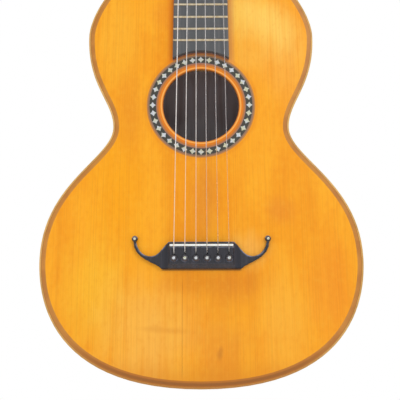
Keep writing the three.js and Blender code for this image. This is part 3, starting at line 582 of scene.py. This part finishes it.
def streaked_wood(name, colours, spacing, gloss, coat, across_axis="x", inner_face=None):
    """Dark streaks and pores in a lighter ground. An inner face, if given, shows raw wood in
    painted light, paler towards the neck.
    """
    finish = Finish(name)
    blend, lay, step, fall = finish.blend, finish.lay, finish.step, finish.fall
    middle = abs(finish.x)
    across = {"x": finish.x, "y": finish.y, "opened like a book": middle}[across_axis]
    drift = finish.stretched((40, 0, 90), across=across) - 0.5
    moved = across + drift * STREAK_WANDER
    streaks = finish.stretched((spacing, 0, 1 / 0.006), 4.0, 0.62, moved)
    pore = step(finish.stretched((1 / 2.2, 1 / 2.2, 1 / 0.12), 1.0, across=moved), 0.6, 0.7)
    ground, dark, light = colours
    finish.ground(step(streaks, 0.4, 0.6), ground, dark)
    lay(light, step(streaks, 0.6, 0.8) * 0.6)
    lay((20, 10, 6), pore * 0.5)
    if inner_face:
        slope, depth = inner_face
        lay((18, 12, 10), fall(middle, 1.1, 1.4))
        lay((204, 160, 96), fall(middle, 0.45, 0.7))
        # painted light: the raw inside is far paler than rosewood, and paler still towards the
        # neck, where the fingerboard and neck block shade it
        painted_lift = step(finish.z, -484, -384)
        raw = blend(painted_lift, (138, 130, 134), (232, 218, 222))
        raw_streak = blend(painted_lift, (124, 110, 110), (212, 190, 190))
        raw = blend(step(streaks, 0.42, 0.66), raw, raw_streak)
        lay(raw, fall(finish.y - finish.z * slope, depth, depth + 0.3))
    return finish.surface(gloss + pore * 0.15, 1 - pore, 0.00004, coat=(coat, 0.1))


back_points = [vertex.co / MM for vertex in nodes["back_plate"].data.vertices]
back_top = max(back_points, key=lambda point: point.z - point.y)
back_tail = max(back_points, key=lambda point: -point.z - point.y)
BACK_SLOPE = (back_top.y - back_tail.y) / (back_top.z - back_tail.z)
BACK_INNER = back_top.y - BACK_SLOPE * back_top.z + INNER_MARGIN
print("inner face of the back: slope", round(BACK_SLOPE, 4), "offset", round(BACK_INNER, 2))

ROSEWOOD = ((104, 54, 34), (44, 22, 16), (140, 78, 46))
MAHOGANY = ((88, 42, 26), (62, 28, 18), (112, 58, 34))
SPRUCE_STICK = ((206, 172, 120), (186, 148, 98), (220, 190, 140))
BACK_WOOD = streaked_wood(
    "rosewood_back", ROSEWOOD, 7.0, 0.32, 0.4, "opened like a book", (BACK_SLOPE, BACK_INNER))
RIB_WOOD = streaked_wood("rosewood_rib", ROSEWOOD, 6.0, 0.32, 0.4, "y")
NECK_WOOD = streaked_wood("mahogany_neck", MAHOGANY, 5.0, 0.34, 0.35)
RAW_WOOD = streaked_wood("raw_spruce", SPRUCE_STICK, 2.4, 0.7, 0.0)


def line_wood(name, light, dark, scale, tail, lines=()):
    """Thin strips of wood, darker round the tail, with lines at their distance from the edge."""
    finish = Finish(name)
    fibres = finish.noise(finish.place, 0.7)
    finish.ground(finish.step(finish.noise(finish.place, scale, 3.0), 0.35, 0.65), light, dark)
    low = finish.fall(finish.z, -732, -680)
    finish.lay(tail, low)
    inset = finish.node("ShaderNodeAttribute", output="Fac", attribute_name="inset")
    for near, far, soft, tint, above, below in lines:
        strength = above + low * (below - above)
        finish.lay(tint, finish.band(inset, near, far, soft) * strength)
    return finish.surface(0.3 + fibres * 0.12, fibres, 0.00002, coat=(0.15, 0.12))


PURFLING_LINES = [
    # from, to and softness in millimetres, colour, strength above and at the tail
    (1.5, 2.3, 0.25, (150, 98, 30), 0.6, 0.1),
    (2.3, 4.5, 0.6, (142, 84, 10), 0.1, 0.8),
]
BINDING_WOOD = line_wood("maple_binding", (232, 188, 108), (212, 166, 90), 0.05, (200, 144, 72))
PURFLING_WOOD = line_wood(
    "brown_purfling", (202, 134, 50), (188, 120, 44), 0.06, (184, 108, 14), PURFLING_LINES)

# %% [markdown]
# Ebony looks black in the hand; the fingerboard's ground is painted a cool grey, a painted
# reflection of the even white surround on its polish. Fine pale pores and finger wear break up the
# reflection. The bridge's upper edges carry a painted pale highlight and its lower edges painted
# shade, and the bevel beside its flat top is dull. Where the strings pass over the soundboard, its
# varnish throws a warm light on them.

# %% Ebony, bone, brass, strings and pearl
# From, to and softness in millimetres: off the middle for the bevels, up the neck for the glow.
BEVELS = (30.8, 36.4, 0.6)
BOARD_GLOW = (-606, -518, 6)


def ebony_finish(name, ground, streak, gloss, rims=None):
    """Dark wood, which may carry a painted highlight along its upper edges and painted shade along
    its lower ones.
    """
    finish = Finish(name)
    streaks = finish.stretched((3, 3, 100), 4.0)
    pore = finish.step(finish.stretched((1 / 2.6, 1 / 2.6, 5), 1.0), 0.6, 0.72)
    finish.ground(finish.step(streaks, 0.45, 0.75), ground, streak)
    rough = gloss + finish.noise(finish.place, 0.03, 3.0) * 0.15 + pore * 0.1
    coat = 0.3
    if rims:
        painted_edge_highlight, painted_edge_shade = rims
        rim = finish.node("ShaderNodeAttribute", output="Fac", attribute_name="rim")
        patchy = finish.step(finish.noise(finish.place, 1 / 7), 0.3, 0.7)
        # painted highlight along the upper edges and painted shade along the lower ones
        finish.lay(painted_edge_highlight, finish.step(rim, 0.1, 1.0) * patchy * 0.8)
        finish.lay(painted_edge_shade, finish.step(0 - rim, 0.1, 0.9) * 0.8)
        bevel = finish.band(abs(finish.x), *BEVELS)
        rough = rough + bevel * 0.5
        coat = coat - bevel * coat
    return finish.surface(rough, 1 - pore, 0.00003, coat=(coat, 0.08))


def bone_finish():
    finish = Finish("old_bone")
    flecks = finish.stretched((1 / 0.8, 0.5, 0.5), 3.0)
    finish.ground(finish.step(flecks, 0.4, 0.7), (255, 253, 248), (244, 240, 228))
    return finish.surface(0.3 + flecks * 0.1, flecks, 0.00002, 0.4, subsurface_weight=0.1)


def board_glow(finish, share, amber):
    """Warm light from the soundboard on the strings between the rosette and the bridge."""
    finish.lay(amber, finish.band(finish.z, *BOARD_GLOW) * share)


def metal_finish(name, light, dark, gloss, metallic, ripple=0.0):
    """Polished metal, or a string's winding where the ripple is given in millimetres."""
    finish = Finish(name)
    tarnish = finish.noise(finish.place, 0.4, 3.0)
    finish.ground(finish.step(tarnish, 0.35, 0.7), light, dark)
    relief = tarnish
    if ripple:
        relief = finish.math("SINE", finish.z * (2 * pi / ripple))
        board_glow(finish, 0.55, (255, 188, 72))
    return finish.surface(gloss + tarnish * 0.12, relief, 0.00003, metallic=metallic)


def gut_finish():
    finish = Finish("clear_gut")
    cloud = finish.noise(finish.place, 0.3)
    finish.ground(cloud, (246, 242, 242), (232, 228, 228))
    board_glow(finish, 0.8, (255, 212, 140))
    return finish.surface(0.22 + cloud * 0.08, cloud, 0.00001, 0.4, transmission_weight=0.62)


def pearl_finish():
    finish = Finish("mother_of_pearl")
    shimmer = finish.noise(finish.place, 0.16)
    clouds = finish.noise(finish.place, 0.9, 3.0)
    finish.ground(finish.step(shimmer, 0.38, 0.62), (208, 214, 222), (204, 204, 168))
    finish.lay((238, 236, 232), finish.step(clouds, 0.45, 0.7) * 0.5)
    return finish.surface(0.2 + clouds * 0.12, clouds, 0.00003, metallic=0.15, coat=(0.4, 0.08))


def rosette_finish():
    """Pale line, black band, brown line and outer line, told apart by their distance."""
    finish = Finish("rosette_bands")
    radius = ring_distance(finish)
    fleck = finish.noise(finish.place, 0.8, 3.0)
    finish.ground(fleck, (172, 122, 102), (140, 98, 86))
    bands = [
        # where the band's border starts and ends in millimetres, and its two colours
        (43.7, 44.0, (54, 53, 47), (74, 72, 63)),
        (50.1, 50.4, (158, 122, 94), (128, 100, 82)),
        (51.6, 52.0, (206, 136, 60), (180, 116, 52)),
    ]
    for start, end, light, dark in bands:
        finish.lay(finish.blend(fleck, light, dark), finish.step(radius, start, end))
    return finish.surface(0.3 + fleck * 0.1, fleck, 0.00002, 0.4, coat=(0.15, 0.12))


# painted reflection: the grey ground stands in for the white surround's reflection on black ebony
BOARD_EBONY = ebony_finish("fingerboard_ebony", (84, 86, 89), (104, 104, 105), 0.42)
# its last pair: the painted highlight for the upper edges and the painted shade for the lower ones
BRIDGE_EBONY = ebony_finish(
    "bridge_ebony", (42, 42, 50), (58, 58, 68), 0.2, ((128, 138, 164), (16, 19, 24)))
PIN_EBONY = ebony_finish("pin_ebony", (62, 60, 66), (80, 77, 82), 0.2)
PEG_EBONY = ebony_finish("peg_ebony", (26, 24, 24), (44, 38, 36), 0.25)
BONE = bone_finish()
FRET_BRASS = metal_finish("fret_brass", (240, 224, 192), (214, 192, 154), 0.28, 0.8)
WOUND = metal_finish("silvered_winding", (242, 238, 234), (222, 218, 216), 0.35, 0.3, 0.35)
GUT = gut_finish()
PEARL = pearl_finish()
ROSETTE = rosette_finish()
print("finishes:", len(bpy.data.materials))

# %% [markdown]
# The body's outline is one smooth figure of four curves a side: tail, lower bout, waist, upper
# bout and shoulder. The same rule that shaped the solids is drawn here with finer steps, so that
# light runs round the ribs without facets. Its ends and widest place come from the solids' boxes.

# %% Body outline
body_low, body_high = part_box("top_binding")
BODY_TAIL = body_low.z
BODY_TOP = body_high.z
BODY_LENGTH = BODY_TOP - BODY_TAIL
LOWER_HALF = body_high.x
WAIST_HALF = 85.1 * MM
UPPER_HALF = 111.8 * MM
SHOULDER_HALF = 27 * MM
OUTLINE_STEPS = 26
LOWER_SHARE, WAIST_SHARE, UPPER_SHARE = 0.2677, 0.5606, 0.7799
TAIL_START = -652 * MM
TAIL_REACH = 65 * MM


def between(start, end, share):
    return start + (end - start) * share


def outline_points():
    """Thirteen control points: each fourth one ends a cubic curve and starts the next."""
    lower, waist, upper = [
        BODY_TAIL + share * BODY_LENGTH for share in (LOWER_SHARE, WAIST_SHARE, UPPER_SHARE)]
    reach = UPPER_HALF - SHOULDER_HALF
    return [
        (0, BODY_TAIL), (0.892 * LOWER_HALF, BODY_TAIL),
        (LOWER_HALF, between(lower, BODY_TAIL, 0.329)), (LOWER_HALF, lower),
        (LOWER_HALF, between(lower, waist, 0.574)), (WAIST_HALF, between(waist, lower, 0.239)),
        (WAIST_HALF, waist), (WAIST_HALF, between(waist, upper, 0.279)),
        (UPPER_HALF, between(upper, waist, 0.551)), (UPPER_HALF, upper),
        (UPPER_HALF, between(upper, BODY_TOP, 0.371)),
        (SHOULDER_HALF + 0.448 * reach, BODY_TOP), (SHOULDER_HALF, BODY_TOP)]


def curve_station(controls, t):
    """A point on a cubic curve and the direction that points into the body there."""
    a, b, c, d = [Vector(control) for control in controls]
    u = 1 - t
    point = a * u ** 3 + b * (3 * u * u * t) + c * (3 * u * t * t) + d * t ** 3
    slope = ((b - a) * u * u + (c - b) * (2 * u * t) + (d - c) * t * t).normalized()
    return point, Vector((-slope.y, slope.x))


def curve_stations(points, steps):
    """Stations along a chain of cubic curves, without the last point."""
    return [
        curve_station(points[start:start + 4], step / steps)
        for start in range(0, len(points) - 1, 3) for step in range(steps)]


def body_stations():
    right = curve_stations(outline_points(), OUTLINE_STEPS)
    right.append((Vector((SHOULDER_HALF, BODY_TOP)), Vector((0, -1))))
    left = [(Vector((-p.x, p.y)), Vector((-n.x, n.y))) for p, n in right[1:]]
    return right + left[::-1]


def tail_share(height):
    """0 above the middle of the lower bout, rising to 1 towards the tail."""
    return min(1, max(0, (TAIL_START - height) / TAIL_REACH))


def body_outline(inset, tail_extra=0):
    """The outline moved inwards, and further by tail_extra round the tail."""
    return [
        tuple(point + inward * (inset + tail_extra * tail_share(point.y)))
        for point, inward in STATIONS]


STATIONS = body_stations()
print("body", round(BODY_LENGTH, 4), "long,", len(STATIONS), "stations")

# %% [markdown]
# The back is a flat plate that lies deeper at the tail than at the neck. Its slope is read from
# the outer binding of the solids, so the dressed shell follows it exactly. Depths are rules that
# give y for a height, so that one band helper serves the level front and the sloping back.

# %% Depth of the body
back_corners = [vertex.co for vertex in nodes["back_binding"].data.vertices]
TAIL_DEPTH = max(corner.y for corner in back_corners if corner.z < BODY_TAIL + 0.5 * MM)
TOP_DEPTH = max(corner.y for corner in back_corners if corner.z > BODY_TOP - 0.5 * MM)


def front_at(depth):
    return lambda z: depth


def from_back(gap):
    return lambda z: between(TAIL_DEPTH, TOP_DEPTH, (z - BODY_TAIL) / BODY_LENGTH) - gap


def shifted(rule, gap):
    return lambda z: rule(z) + gap


def around_body(section, tail_extra=0):
    """Carry a section of (inset, depth rule) pairs round the outline, keeping each point's inset.

    Its innermost points lie further in round the tail, by tail_extra.
    """
    innermost = max(inset for inset, rule in section)
    mesh = bmesh.new()
    layer = mesh.verts.layers.float.new("inset")
    rings = []
    for point, inward in STATIONS:
        ring = []
        for inset, rule in section:
            extra = tail_extra * tail_share(point.y) if inset == innermost else 0
            place = point + inward * (inset + extra)
            vertex = mesh.verts.new((place.x, rule(place.y), place.y))
            vertex[layer] = inset / MM
            ring.append(vertex)
        rings.append(ring)
    join_rows(mesh, rings + rings[:1])
    return mesh


def rounded_band(width, outer, inner, radius, inwards):
    """A square section with a rounded outer edge. Inwards is 1 from the front, -1 from the back."""
    section = [(aside, shifted(outer, inwards * ahead)) for aside, ahead in quarter_round(radius)]
    return section + [(width, outer), (width, inner), (0, inner)]


print("body", round(TOP_DEPTH, 4), "deep at the neck,", round(TAIL_DEPTH, 4), "at the tail")

# %% [markdown]
# The soundboard is one board with a rounded lip at its hole and a ledge for the rosette. The brown
# strip and the light binding frame it, and the bent ribs and the back close the box. A curve with
# a bevel could draw the strips, but a section carried round the outline point by point can also
# widen the brown one round the tail and follow the sloping back.

# %% Soundboard, bindings, ribs and back
BINDING = 1.6 * MM
BINDING_DEPTH = 5 * MM
PURFLING = 4.2 * MM
TAIL_EXTRA = 1.1 * MM
PLATE = 2.5 * MM
RIB = 2.4 * MM
EDGE_ROUND = 0.7 * MM
HOLE_ROUND = 0.8 * MM
HOLE_SIDES = 160
ROSETTE_DEPTH = 1.2 * MM


def hole_ring(mesh, section):
    """A closed ring round the sound hole from (radius, depth) pairs."""
    rings = []
    for across, up in circle(1, HOLE_SIDES):
        rings.append([
            mesh.verts.new((radius * across, depth, HOLE_HEIGHT + radius * up))
            for radius, depth in section])
    join_rows(mesh, rings + rings[:1])


inner_edge = BINDING + PURFLING
opening = circle(ROSETTE_RADIUS, HOLE_SIDES, (0, HOLE_HEIGHT))
board = prism(body_outline(inner_edge, TAIL_EXTRA), [opening], front_at(0), front_at(PLATE))
lip = [(HOLE_RADIUS + aside, ahead) for aside, ahead in quarter_round(HOLE_ROUND)]
ledge = [
    (ROSETTE_INNER, 0), (ROSETTE_INNER, ROSETTE_DEPTH), (ROSETTE_RADIUS, ROSETTE_DEPTH),
    (ROSETTE_RADIUS, PLATE)]
hole_ring(board, lip[::-1] + ledge + [(HOLE_RADIUS, PLATE)])
dress("spruce_top", board, SPRUCE, ["soundboard"])

strip = around_body(rectangle(BINDING, inner_edge, front_at(0), front_at(PLATE)), TAIL_EXTRA)
dress("purfling_strip", strip, PURFLING_WOOD, ["top_purfling"])

for name, solid, rule, inwards in (
        ("front_binding", "top_binding", front_at, 1),
        ("rear_binding", "back_binding", from_back, -1)):
    band = rounded_band(BINDING, rule(0), rule(BINDING_DEPTH), EDGE_ROUND, inwards)
    dress(name, around_body(band), BINDING_WOOD, [solid])

ribs = around_body(rectangle(0, RIB, from_back(BINDING_DEPTH), front_at(BINDING_DEPTH)))
dress("bent_ribs", ribs, RIB_WOOD, ["rib_bass", "rib_treble"])
back = prism(body_outline(BINDING), [], from_back(0), from_back(PLATE))
dress("back_board", back, BACK_WOOD, ["back_plate"])

# %% [markdown]
# What repeats by a rule is left to Geometry Nodes, in trees that each hand over a single mesh.

# %% Geometry Nodes helpers
class Tree(Network):
    """A Geometry Nodes tree with one named input for each size."""

    def __init__(self, name, sizes):
        super().__init__(bpy.data.node_groups.new(name, "GeometryNodeTree"))
        sockets = self.tree.interface
        sockets.new_socket("Geometry", in_out="OUTPUT", socket_type="NodeSocketGeometry")
        for label, size in sizes.items():
            kind = "NodeSocketInt" if isinstance(size, int) else "NodeSocketFloat"
            sockets.new_socket(label, in_out="INPUT", socket_type=kind).default_value = size
        entry = self.tree.nodes.new("NodeGroupInput")
        self.size = {socket.name: Field(self, socket) for socket in entry.outputs if socket.name}
        self.index = self.node("GeometryNodeInputIndex")

    def grow(self, piece, place, material, **settings):
        """Set the piece at each point, in one mesh of one material, and return it as a bmesh."""
        points = self.node("GeometryNodePoints", {"Count": self.size["Count"]})
        placed = self.node("GeometryNodeSetPosition", {"Geometry": points, "Position": place})
        copies = self.node(
            "GeometryNodeInstanceOnPoints", {"Points": placed, "Instance": piece, **settings})
        loose = self.node("GeometryNodeRealizeInstances", {0: copies})
        coloured = self.node("GeometryNodeSetMaterial", {0: loose, "Material": material})
        self.feed(self.tree.nodes.new("NodeGroupOutput").inputs[0], coloured)
        return modified(self.tree.name, bmesh.new(), [("NODES", {"node_group": self.tree})])


# %% [markdown]
# The rosette is one black ring between two thin lines, with thirty-six pearl stars let into it.
# One four-pointed star is drawn and set round the ring, each copy turned with the circle.

# %% Pearl stars round the rosette
STAR_SIZES = {
    "Count": 36, "Ring Radius": 47.2 * MM, "Tip Radius": 3.1 * MM, "Waist Radius": 1.78 * MM,
    "Ring Height": HOLE_HEIGHT, "Thickness": 0.5 * MM,
}
STAR_PROUD = 0.04 * MM


def grown_stars():
    tree = Tree("ring_of_stars", STAR_SIZES)
    size = tree.size
    radii = {"Inner Radius": size["Waist Radius"], "Outer Radius": size["Tip Radius"]}
    star = tree.node("GeometryNodeCurveStar", {"Points": 4, **radii})
    filled = tree.node("GeometryNodeFillCurve", {"Curve": star})
    thickness = {"Offset Scale": size["Thickness"], "Individual": False}
    solid = tree.node("GeometryNodeExtrudeMesh", {"Mesh": filled, **thickness})
    base = tree.node("GeometryNodeFlipFaces", {"Mesh": filled})
    closed = tree.node("GeometryNodeJoinGeometry")
    for part in (base, solid):
        tree.feed(closed.socket.node.inputs[0], part)
    upright = tree.node("GeometryNodeTransform", {"Geometry": closed, "Rotation": (pi / 2, 0, 0)})
    angle = tree.index / size["Count"] * (2 * pi)
    across = tree.math("COSINE", angle) * size["Ring Radius"]
    up = tree.math("SINE", angle) * size["Ring Radius"] + size["Ring Height"]
    spin = tree.vector(0, angle * -1, 0)
    return tree.grow(upright, tree.vector(across, 0, up), PEARL, Rotation=spin)


stars = grown_stars()
bmesh.ops.remove_doubles(stars, verts=stars.verts, dist=0.01 * MM)
lowest = min(vertex.co.y for vertex in stars.verts)
bmesh.ops.translate(stars, verts=stars.verts, vec=(0, -lowest - STAR_PROUD, 0))
dress("pearl_stars", stars, PEARL, (), 30)
bands = bmesh.new()
hole_ring(bands, rectangle(ROSETTE_INNER, ROSETTE_RADIUS, 0, ROSETTE_DEPTH))
dress("rosette_bands", bands, ROSETTE, ["rosette"])

# %% [markdown]
# The fingerboard is a tapering slab whose end is cut as an arc round the rosette. It comes from
# its outline like the soundboard, and only the upper edges, which the hand wears, are rounded.

# %% Fingerboard
board_low, board_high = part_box("fingerboard")
BOARD_FACE = board_low.y
NUT_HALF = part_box("nut")[1].x
END_HALF = board_high.x
END_RADIUS = 54.7 * MM
ARC_STEPS = 24


def fingerboard_outline():
    reach = atan2(sqrt(END_RADIUS ** 2 - END_HALF ** 2), END_HALF)
    arc = [between(pi - reach, reach, step / ARC_STEPS) for step in range(ARC_STEPS + 1)]
    end = [(END_RADIUS * cos(a), HOLE_HEIGHT + END_RADIUS * sin(a)) for a in arc]
    return [(-NUT_HALF, 0.0), *end, (NUT_HALF, 0.0)]


slab = prism(fingerboard_outline(), [], front_at(BOARD_FACE), front_at(0))
round_edges(slab, 0.35 * MM, lambda point: point.y < BOARD_FACE + 0.1 * MM)
dress("ebony_fingerboard", slab, BOARD_EBONY, ["fingerboard"])

# %% [markdown]
# The frets follow equal temperament: each stands at a fixed share of the string length, which a
# Power node works out from the fret's number, and its wire is as wide as the board there.

# %% Frets by equal temperament
fret_nodes = sorted(name for name in nodes if name.startswith("fret_"))
saddle_low, saddle_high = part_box("saddle")
board_length = -(HOLE_HEIGHT + END_RADIUS)
FRET_SIZES = {
    "Count": len(fret_nodes), "String Length": -(saddle_low.z + saddle_high.z) / 2,
    "Width at Nut": 2 * NUT_HALF - 0.6 * MM, "Widening": 2 * (END_HALF - NUT_HALF) / board_length,
    "Board Face": BOARD_FACE, "Crown Radius": 1.1 * MM, "Crown Height": 1.0 * MM,
}


def grown_frets():
    tree = Tree("tempered_frets", FRET_SIZES)
    size = tree.size
    wire = tree.node("GeometryNodeCurvePrimitiveLine", {"Start": (-0.5, 0, 0), "End": (0.5, 0, 0)})
    section = tree.node(
        "GeometryNodeCurvePrimitiveCircle", {"Resolution": 16, "Radius": 1.0}, mode="RADIUS")
    curves = {"Curve": wire, "Profile Curve": section, "Fill Caps": True}
    rod = tree.node("GeometryNodeCurveToMesh", curves)
    left = 2 ** ((tree.index + 1) / -12)
    z = (left - 1) * size["String Length"]
    width = size["Width at Nut"] - z * size["Widening"]
    scale = tree.vector(width, size["Crown Height"], size["Crown Radius"])
    return tree.grow(rod, tree.vector(0, size["Board Face"], z), FRET_BRASS, Scale=scale)


dress("brass_frets", grown_frets(), FRET_BRASS, fret_nodes, 50)

# %% [markdown]
# The neck is one carved piece of hardwood, D-shaped in the hand and drawn out into a pointed heel.
# A subdivision of the solid's own rings gives it the soft, hand-scraped surface, while creases
# keep the edge under the fingerboard and both ends crisp. The headstock is a board in the shape
# of a figure of eight, with a bore for each peg.

# %% Neck and headstock
SUBDIVISIONS = 2


def smoothed(name, crease_angle):
    """Subdivide a copy of a solid, keeping its sharp edges."""
    mesh = copy_of(name)
    bmesh.ops.join_triangles(
        mesh, faces=mesh.faces, angle_face_threshold=radians(25), angle_shape_threshold=radians(60))
    crease = mesh.edges.layers.float.new("crease_edge")
    for edge in sharp_edges(mesh, crease_angle):
        edge[crease] = 1.0
    finer = {"levels": SUBDIVISIONS, "render_levels": SUBDIVISIONS}
    return modified(name + "_smooth", mesh, [("SUBSURF", finer)])


dress("carved_neck", smoothed("neck", 55), NECK_WOOD, ["neck"])

HEAD_TILT = radians(12)
NUT_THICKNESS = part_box("nut")[1].z
HEAD_LENGTH = 165 * MM
HEAD_THICKNESS = 15 * MM
HEAD_STEPS = 18
HEAD_WIDTHS = [NUT_HALF, 34 * MM, 28.5 * MM, 32.5 * MM, 0.0]
HEAD_POINTS = [
    # which of those widths, and the share of the length
    (0, 0), (0, 0.12), (1, 0.16), (1, 0.3), (1, 0.42), (2, 0.42), (2, 0.53), (2, 0.62), (3, 0.64),
    (3, 0.76), (3, 0.92), (3, 1), (4, 1),
]
PEG_RADIUS = 3.3 * MM
BORE_RADIUS = PEG_RADIUS + 0.35 * MM
HEAD_ROUND = 1.2 * MM

head_place = Matrix.Translation((0, 0, NUT_THICKNESS)) @ Matrix.Rotation(-HEAD_TILT, 4, "X")
peg_bodies = sorted(name for name in joints if name.startswith("peg_"))
peg_spots = {name: head_place.inverted() @ Vector(joints[name]["pos_m"]) for name in peg_bodies}


def headstock_outline():
    placed = [(HEAD_WIDTHS[width], share * HEAD_LENGTH) for width, share in HEAD_POINTS]
    right = [tuple(point) for point, inward in curve_stations(placed, HEAD_STEPS)]
    return right + [(0.0, HEAD_LENGTH)] + [(-x, z) for x, z in right[::-1]]


def outer_edge(point):
    """Whether a point lies on the rim of a face, away from the bores and the nut."""
    clear = min(Vector((point.x - spot.x, point.z - spot.z)).length for spot in peg_spots.values())
    inside = 1 * MM < point.y < HEAD_THICKNESS - 1 * MM
    return clear > 5 * MM and point.z > 2 * MM and not inside


bores = [circle(BORE_RADIUS, 32, (spot.x, spot.z)) for spot in peg_spots.values()]
head = prism(headstock_outline(), bores, front_at(0), front_at(HEAD_THICKNESS))
round_edges(head, HEAD_ROUND, outer_edge, 4)
bmesh.ops.transform(head, matrix=head_place, verts=head.verts)
dress("figure_eight_headstock", head, NECK_WOOD, ["headstock"])

# %% [markdown]
# Each tuning peg is turned ebony: a straight post in front, a shank in its bore, a collar behind
# and a flat thumb piece with a shallow hollow on each side and a pearl eye at its end. A profile
# is spun for all that came off the lathe, and a flattened ball, hollowed by a rule, is the thumb
# piece.

# %% Tuning pegs
POST_LENGTH = 14 * MM
COLLAR_RADIUS = 5.4 * MM
PEG_SEAT = HEAD_THICKNESS + 0.3 * MM
THUMB_CENTRE = PEG_SEAT + 13.5 * MM
THUMB_SIZE = Vector((3.4, 9, 10.5)) * MM
THUMB_END = THUMB_CENTRE + 9.1 * MM
THUMB_ROWS = 16
TURNED_SIDES = 28
EYE_RADIUS = 1.5 * MM
EYE_DEPTH = 0.4 * MM

PEG_PROFILE = [
    (0, -POST_LENGTH), (0.62 * PEG_RADIUS, -POST_LENGTH), (0.88 * PEG_RADIUS, -0.985 * POST_LENGTH),
    (PEG_RADIUS, -0.94 * POST_LENGTH), (PEG_RADIUS, PEG_SEAT - 0.1 * MM),
]
PEG_PROFILE += [
    # the collar and the neck of the thumb piece
    (share * COLLAR_RADIUS, PEG_SEAT + rise * MM) for share, rise in (
        (0.93, 0), (1, 0.5), (1, 1.4), (0.85, 2), (0.55, 3), (0.48, 5), (0.55, 8))]
PEG_PROFILE.append((0, THUMB_CENTRE))


def thumb_piece(mesh, place):
    """A flattened grip whose middle is hollowed on both sides."""
    rows = []
    for row in range(THUMB_ROWS + 1):
        polar = pi * row / THUMB_ROWS
        along = -cos(polar)
        points = circle(sin(polar), TURNED_SIDES) if 0 < row < THUMB_ROWS else [(0, 0)]
        ring = []
        for up, side in points:
            hollow = 1 - 0.42 * max(0.0, 1 - (up * up + along * along) / 0.45)
            waist = 1 - 0.16 * max(0.0, -along)
            local = Vector((side * hollow, along, up * waist)) * THUMB_SIZE
            ring.append(mesh.verts.new(place @ (local + Vector((0, THUMB_CENTRE, 0)))))
        rows.append(ring)
    join_rows(mesh, rows)


def add_eye(name, body, place, rise, radius=EYE_RADIUS):
    """A low pearl dome on a disc, facing minus Y before it is placed."""
    profile = [(0, EYE_DEPTH), (radius, EYE_DEPTH), (radius, 0)]
    profile += [(radius * cos(a), -rise * sin(a)) for a in (pi / 8, pi / 4, 3 * pi / 8)]
    dome = turned(profile + [(0, -rise)], 20, place)
    dress(name + "_eye", dome, PEARL, (), 50, body)


for body in peg_bodies:
    place = head_place @ Matrix.Translation((peg_spots[body].x, 0, peg_spots[body].z))
    peg = turned(PEG_PROFILE, TURNED_SIDES, place)
    thumb_piece(peg, place)
    dress("turned_" + body, peg, PEG_EBONY, ["tuning_" + body], 50, body)
    end = Matrix.Translation((0, THUMB_END, 0)) @ Matrix.Rotation(pi, 4, "X")
    add_eye(body, body, place @ end, 0.8 * MM)

# %% [markdown]
# The bridge is the guitar's emblem: a low ebony block whose two arms curl up like a moustache and
# end in balls. It was carved, so its edges are soft. A fine voxel remesh of the solid, followed by
# a few rounds of smoothing, wears all of its edges at once without changing its form.

# %% Bridge, saddle and nut
BALL_RADIUS = 3 * MM
BALL_X = 61.8 * MM
BALL_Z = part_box("bridge")[1].z - BALL_RADIUS
BALL_TOP = -3.9 * MM


def worn(name, voxel, rounds):
    """Remesh a copy of a solid finely and smooth its edges."""
    remesh = {"mode": "VOXEL", "voxel_size": voxel}
    smooth = {"factor": 0.5, "iterations": rounds}
    return modified(name + "_worn", copy_of(name), [("REMESH", remesh), ("SMOOTH", smooth)])


carved_bridge = worn("bridge", voxel=0.28 * MM, rounds=6)
mark_rims(carved_bridge, 0.4 * MM, 1.5 * MM)
dress("moustache_bridge", carved_bridge, BRIDGE_EBONY, ["bridge"], 80)
for name, voxel in (("saddle", 0.15 * MM), ("nut", 0.2 * MM)):
    dress("bone_" + name, worn(name, voxel, rounds=3), BONE, [name], 80)
for side, label in ((-1, "bass"), (1, "treble")):
    place = Matrix.Translation((side * BALL_X, BALL_TOP + 0.02 * MM, BALL_Z))
    add_eye(label + "_ball", "guitar", place, 0.35 * MM, 1.25 * MM)

# %% [markdown]
# The pins are turned too: a tapering shank in the bridge, and a round head with a pearl dot.

# %% Bridge pins
PIN_RADIUS = 2.4 * MM
PIN_HEAD = 3.1 * MM


def pin_profile(front, tip):
    seat = front + 3.2 * MM
    shank = [
        (0, tip), (1.2 * MM, tip), (1.9 * MM, tip - 1 * MM), (PIN_RADIUS, seat), (PIN_HEAD, seat)]
    head = [
        (PIN_HEAD + 0.1 * MM, seat - 0.6 * MM), (0.97 * PIN_HEAD, seat - 1.4 * MM),
        (0.8 * PIN_HEAD, seat - 2.3 * MM), (0.5 * PIN_HEAD, seat - 2.95 * MM), (0, front)]
    return shank + head


for body in sorted(name for name in joints if name.startswith("pin_")):
    low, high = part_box("bridge_" + body)
    centre = (low + high) / 2
    place = Matrix.Translation((centre.x, 0, centre.z))
    pin = turned(pin_profile(low.y, high.y), TURNED_SIDES, place)
    dress("turned_" + body, pin, PIN_EBONY, ["bridge_" + body], 50, body)
    add_eye(body, body, place @ Matrix.Translation((0, low.y + 0.37 * MM, 0)), 0.35 * MM)

# %% [markdown]
# Three basses are silk wound with silvered wire, and three trebles are plain gut. Subdividing the
# six-sided solids turns them into round strings that follow the same coils, bends and knots.

# %% Strings
for number in range(1, 7):
    name = f"string_{number}"
    material, slot = (WOUND, "wound_string") if number > 3 else (GUT, "plain_string")
    dress("round_" + name, smoothed(name, 70), material, [name], 60)

# %% [markdown]
# The inner pieces show only through the sound hole: linings, blocks and braces. Their solids are
# right as they are, and get raw wood.

# %% Inner pieces
INNER = ["top_lining", "back_lining", "neck_block", "tail_block"]
INNER += [name for name in nodes if "brace" in name]
for name in INNER:
    nodes[name].data.materials.clear()
    nodes[name].data.materials.append(RAW_WOOD)
print("inner pieces:", len(INNER))
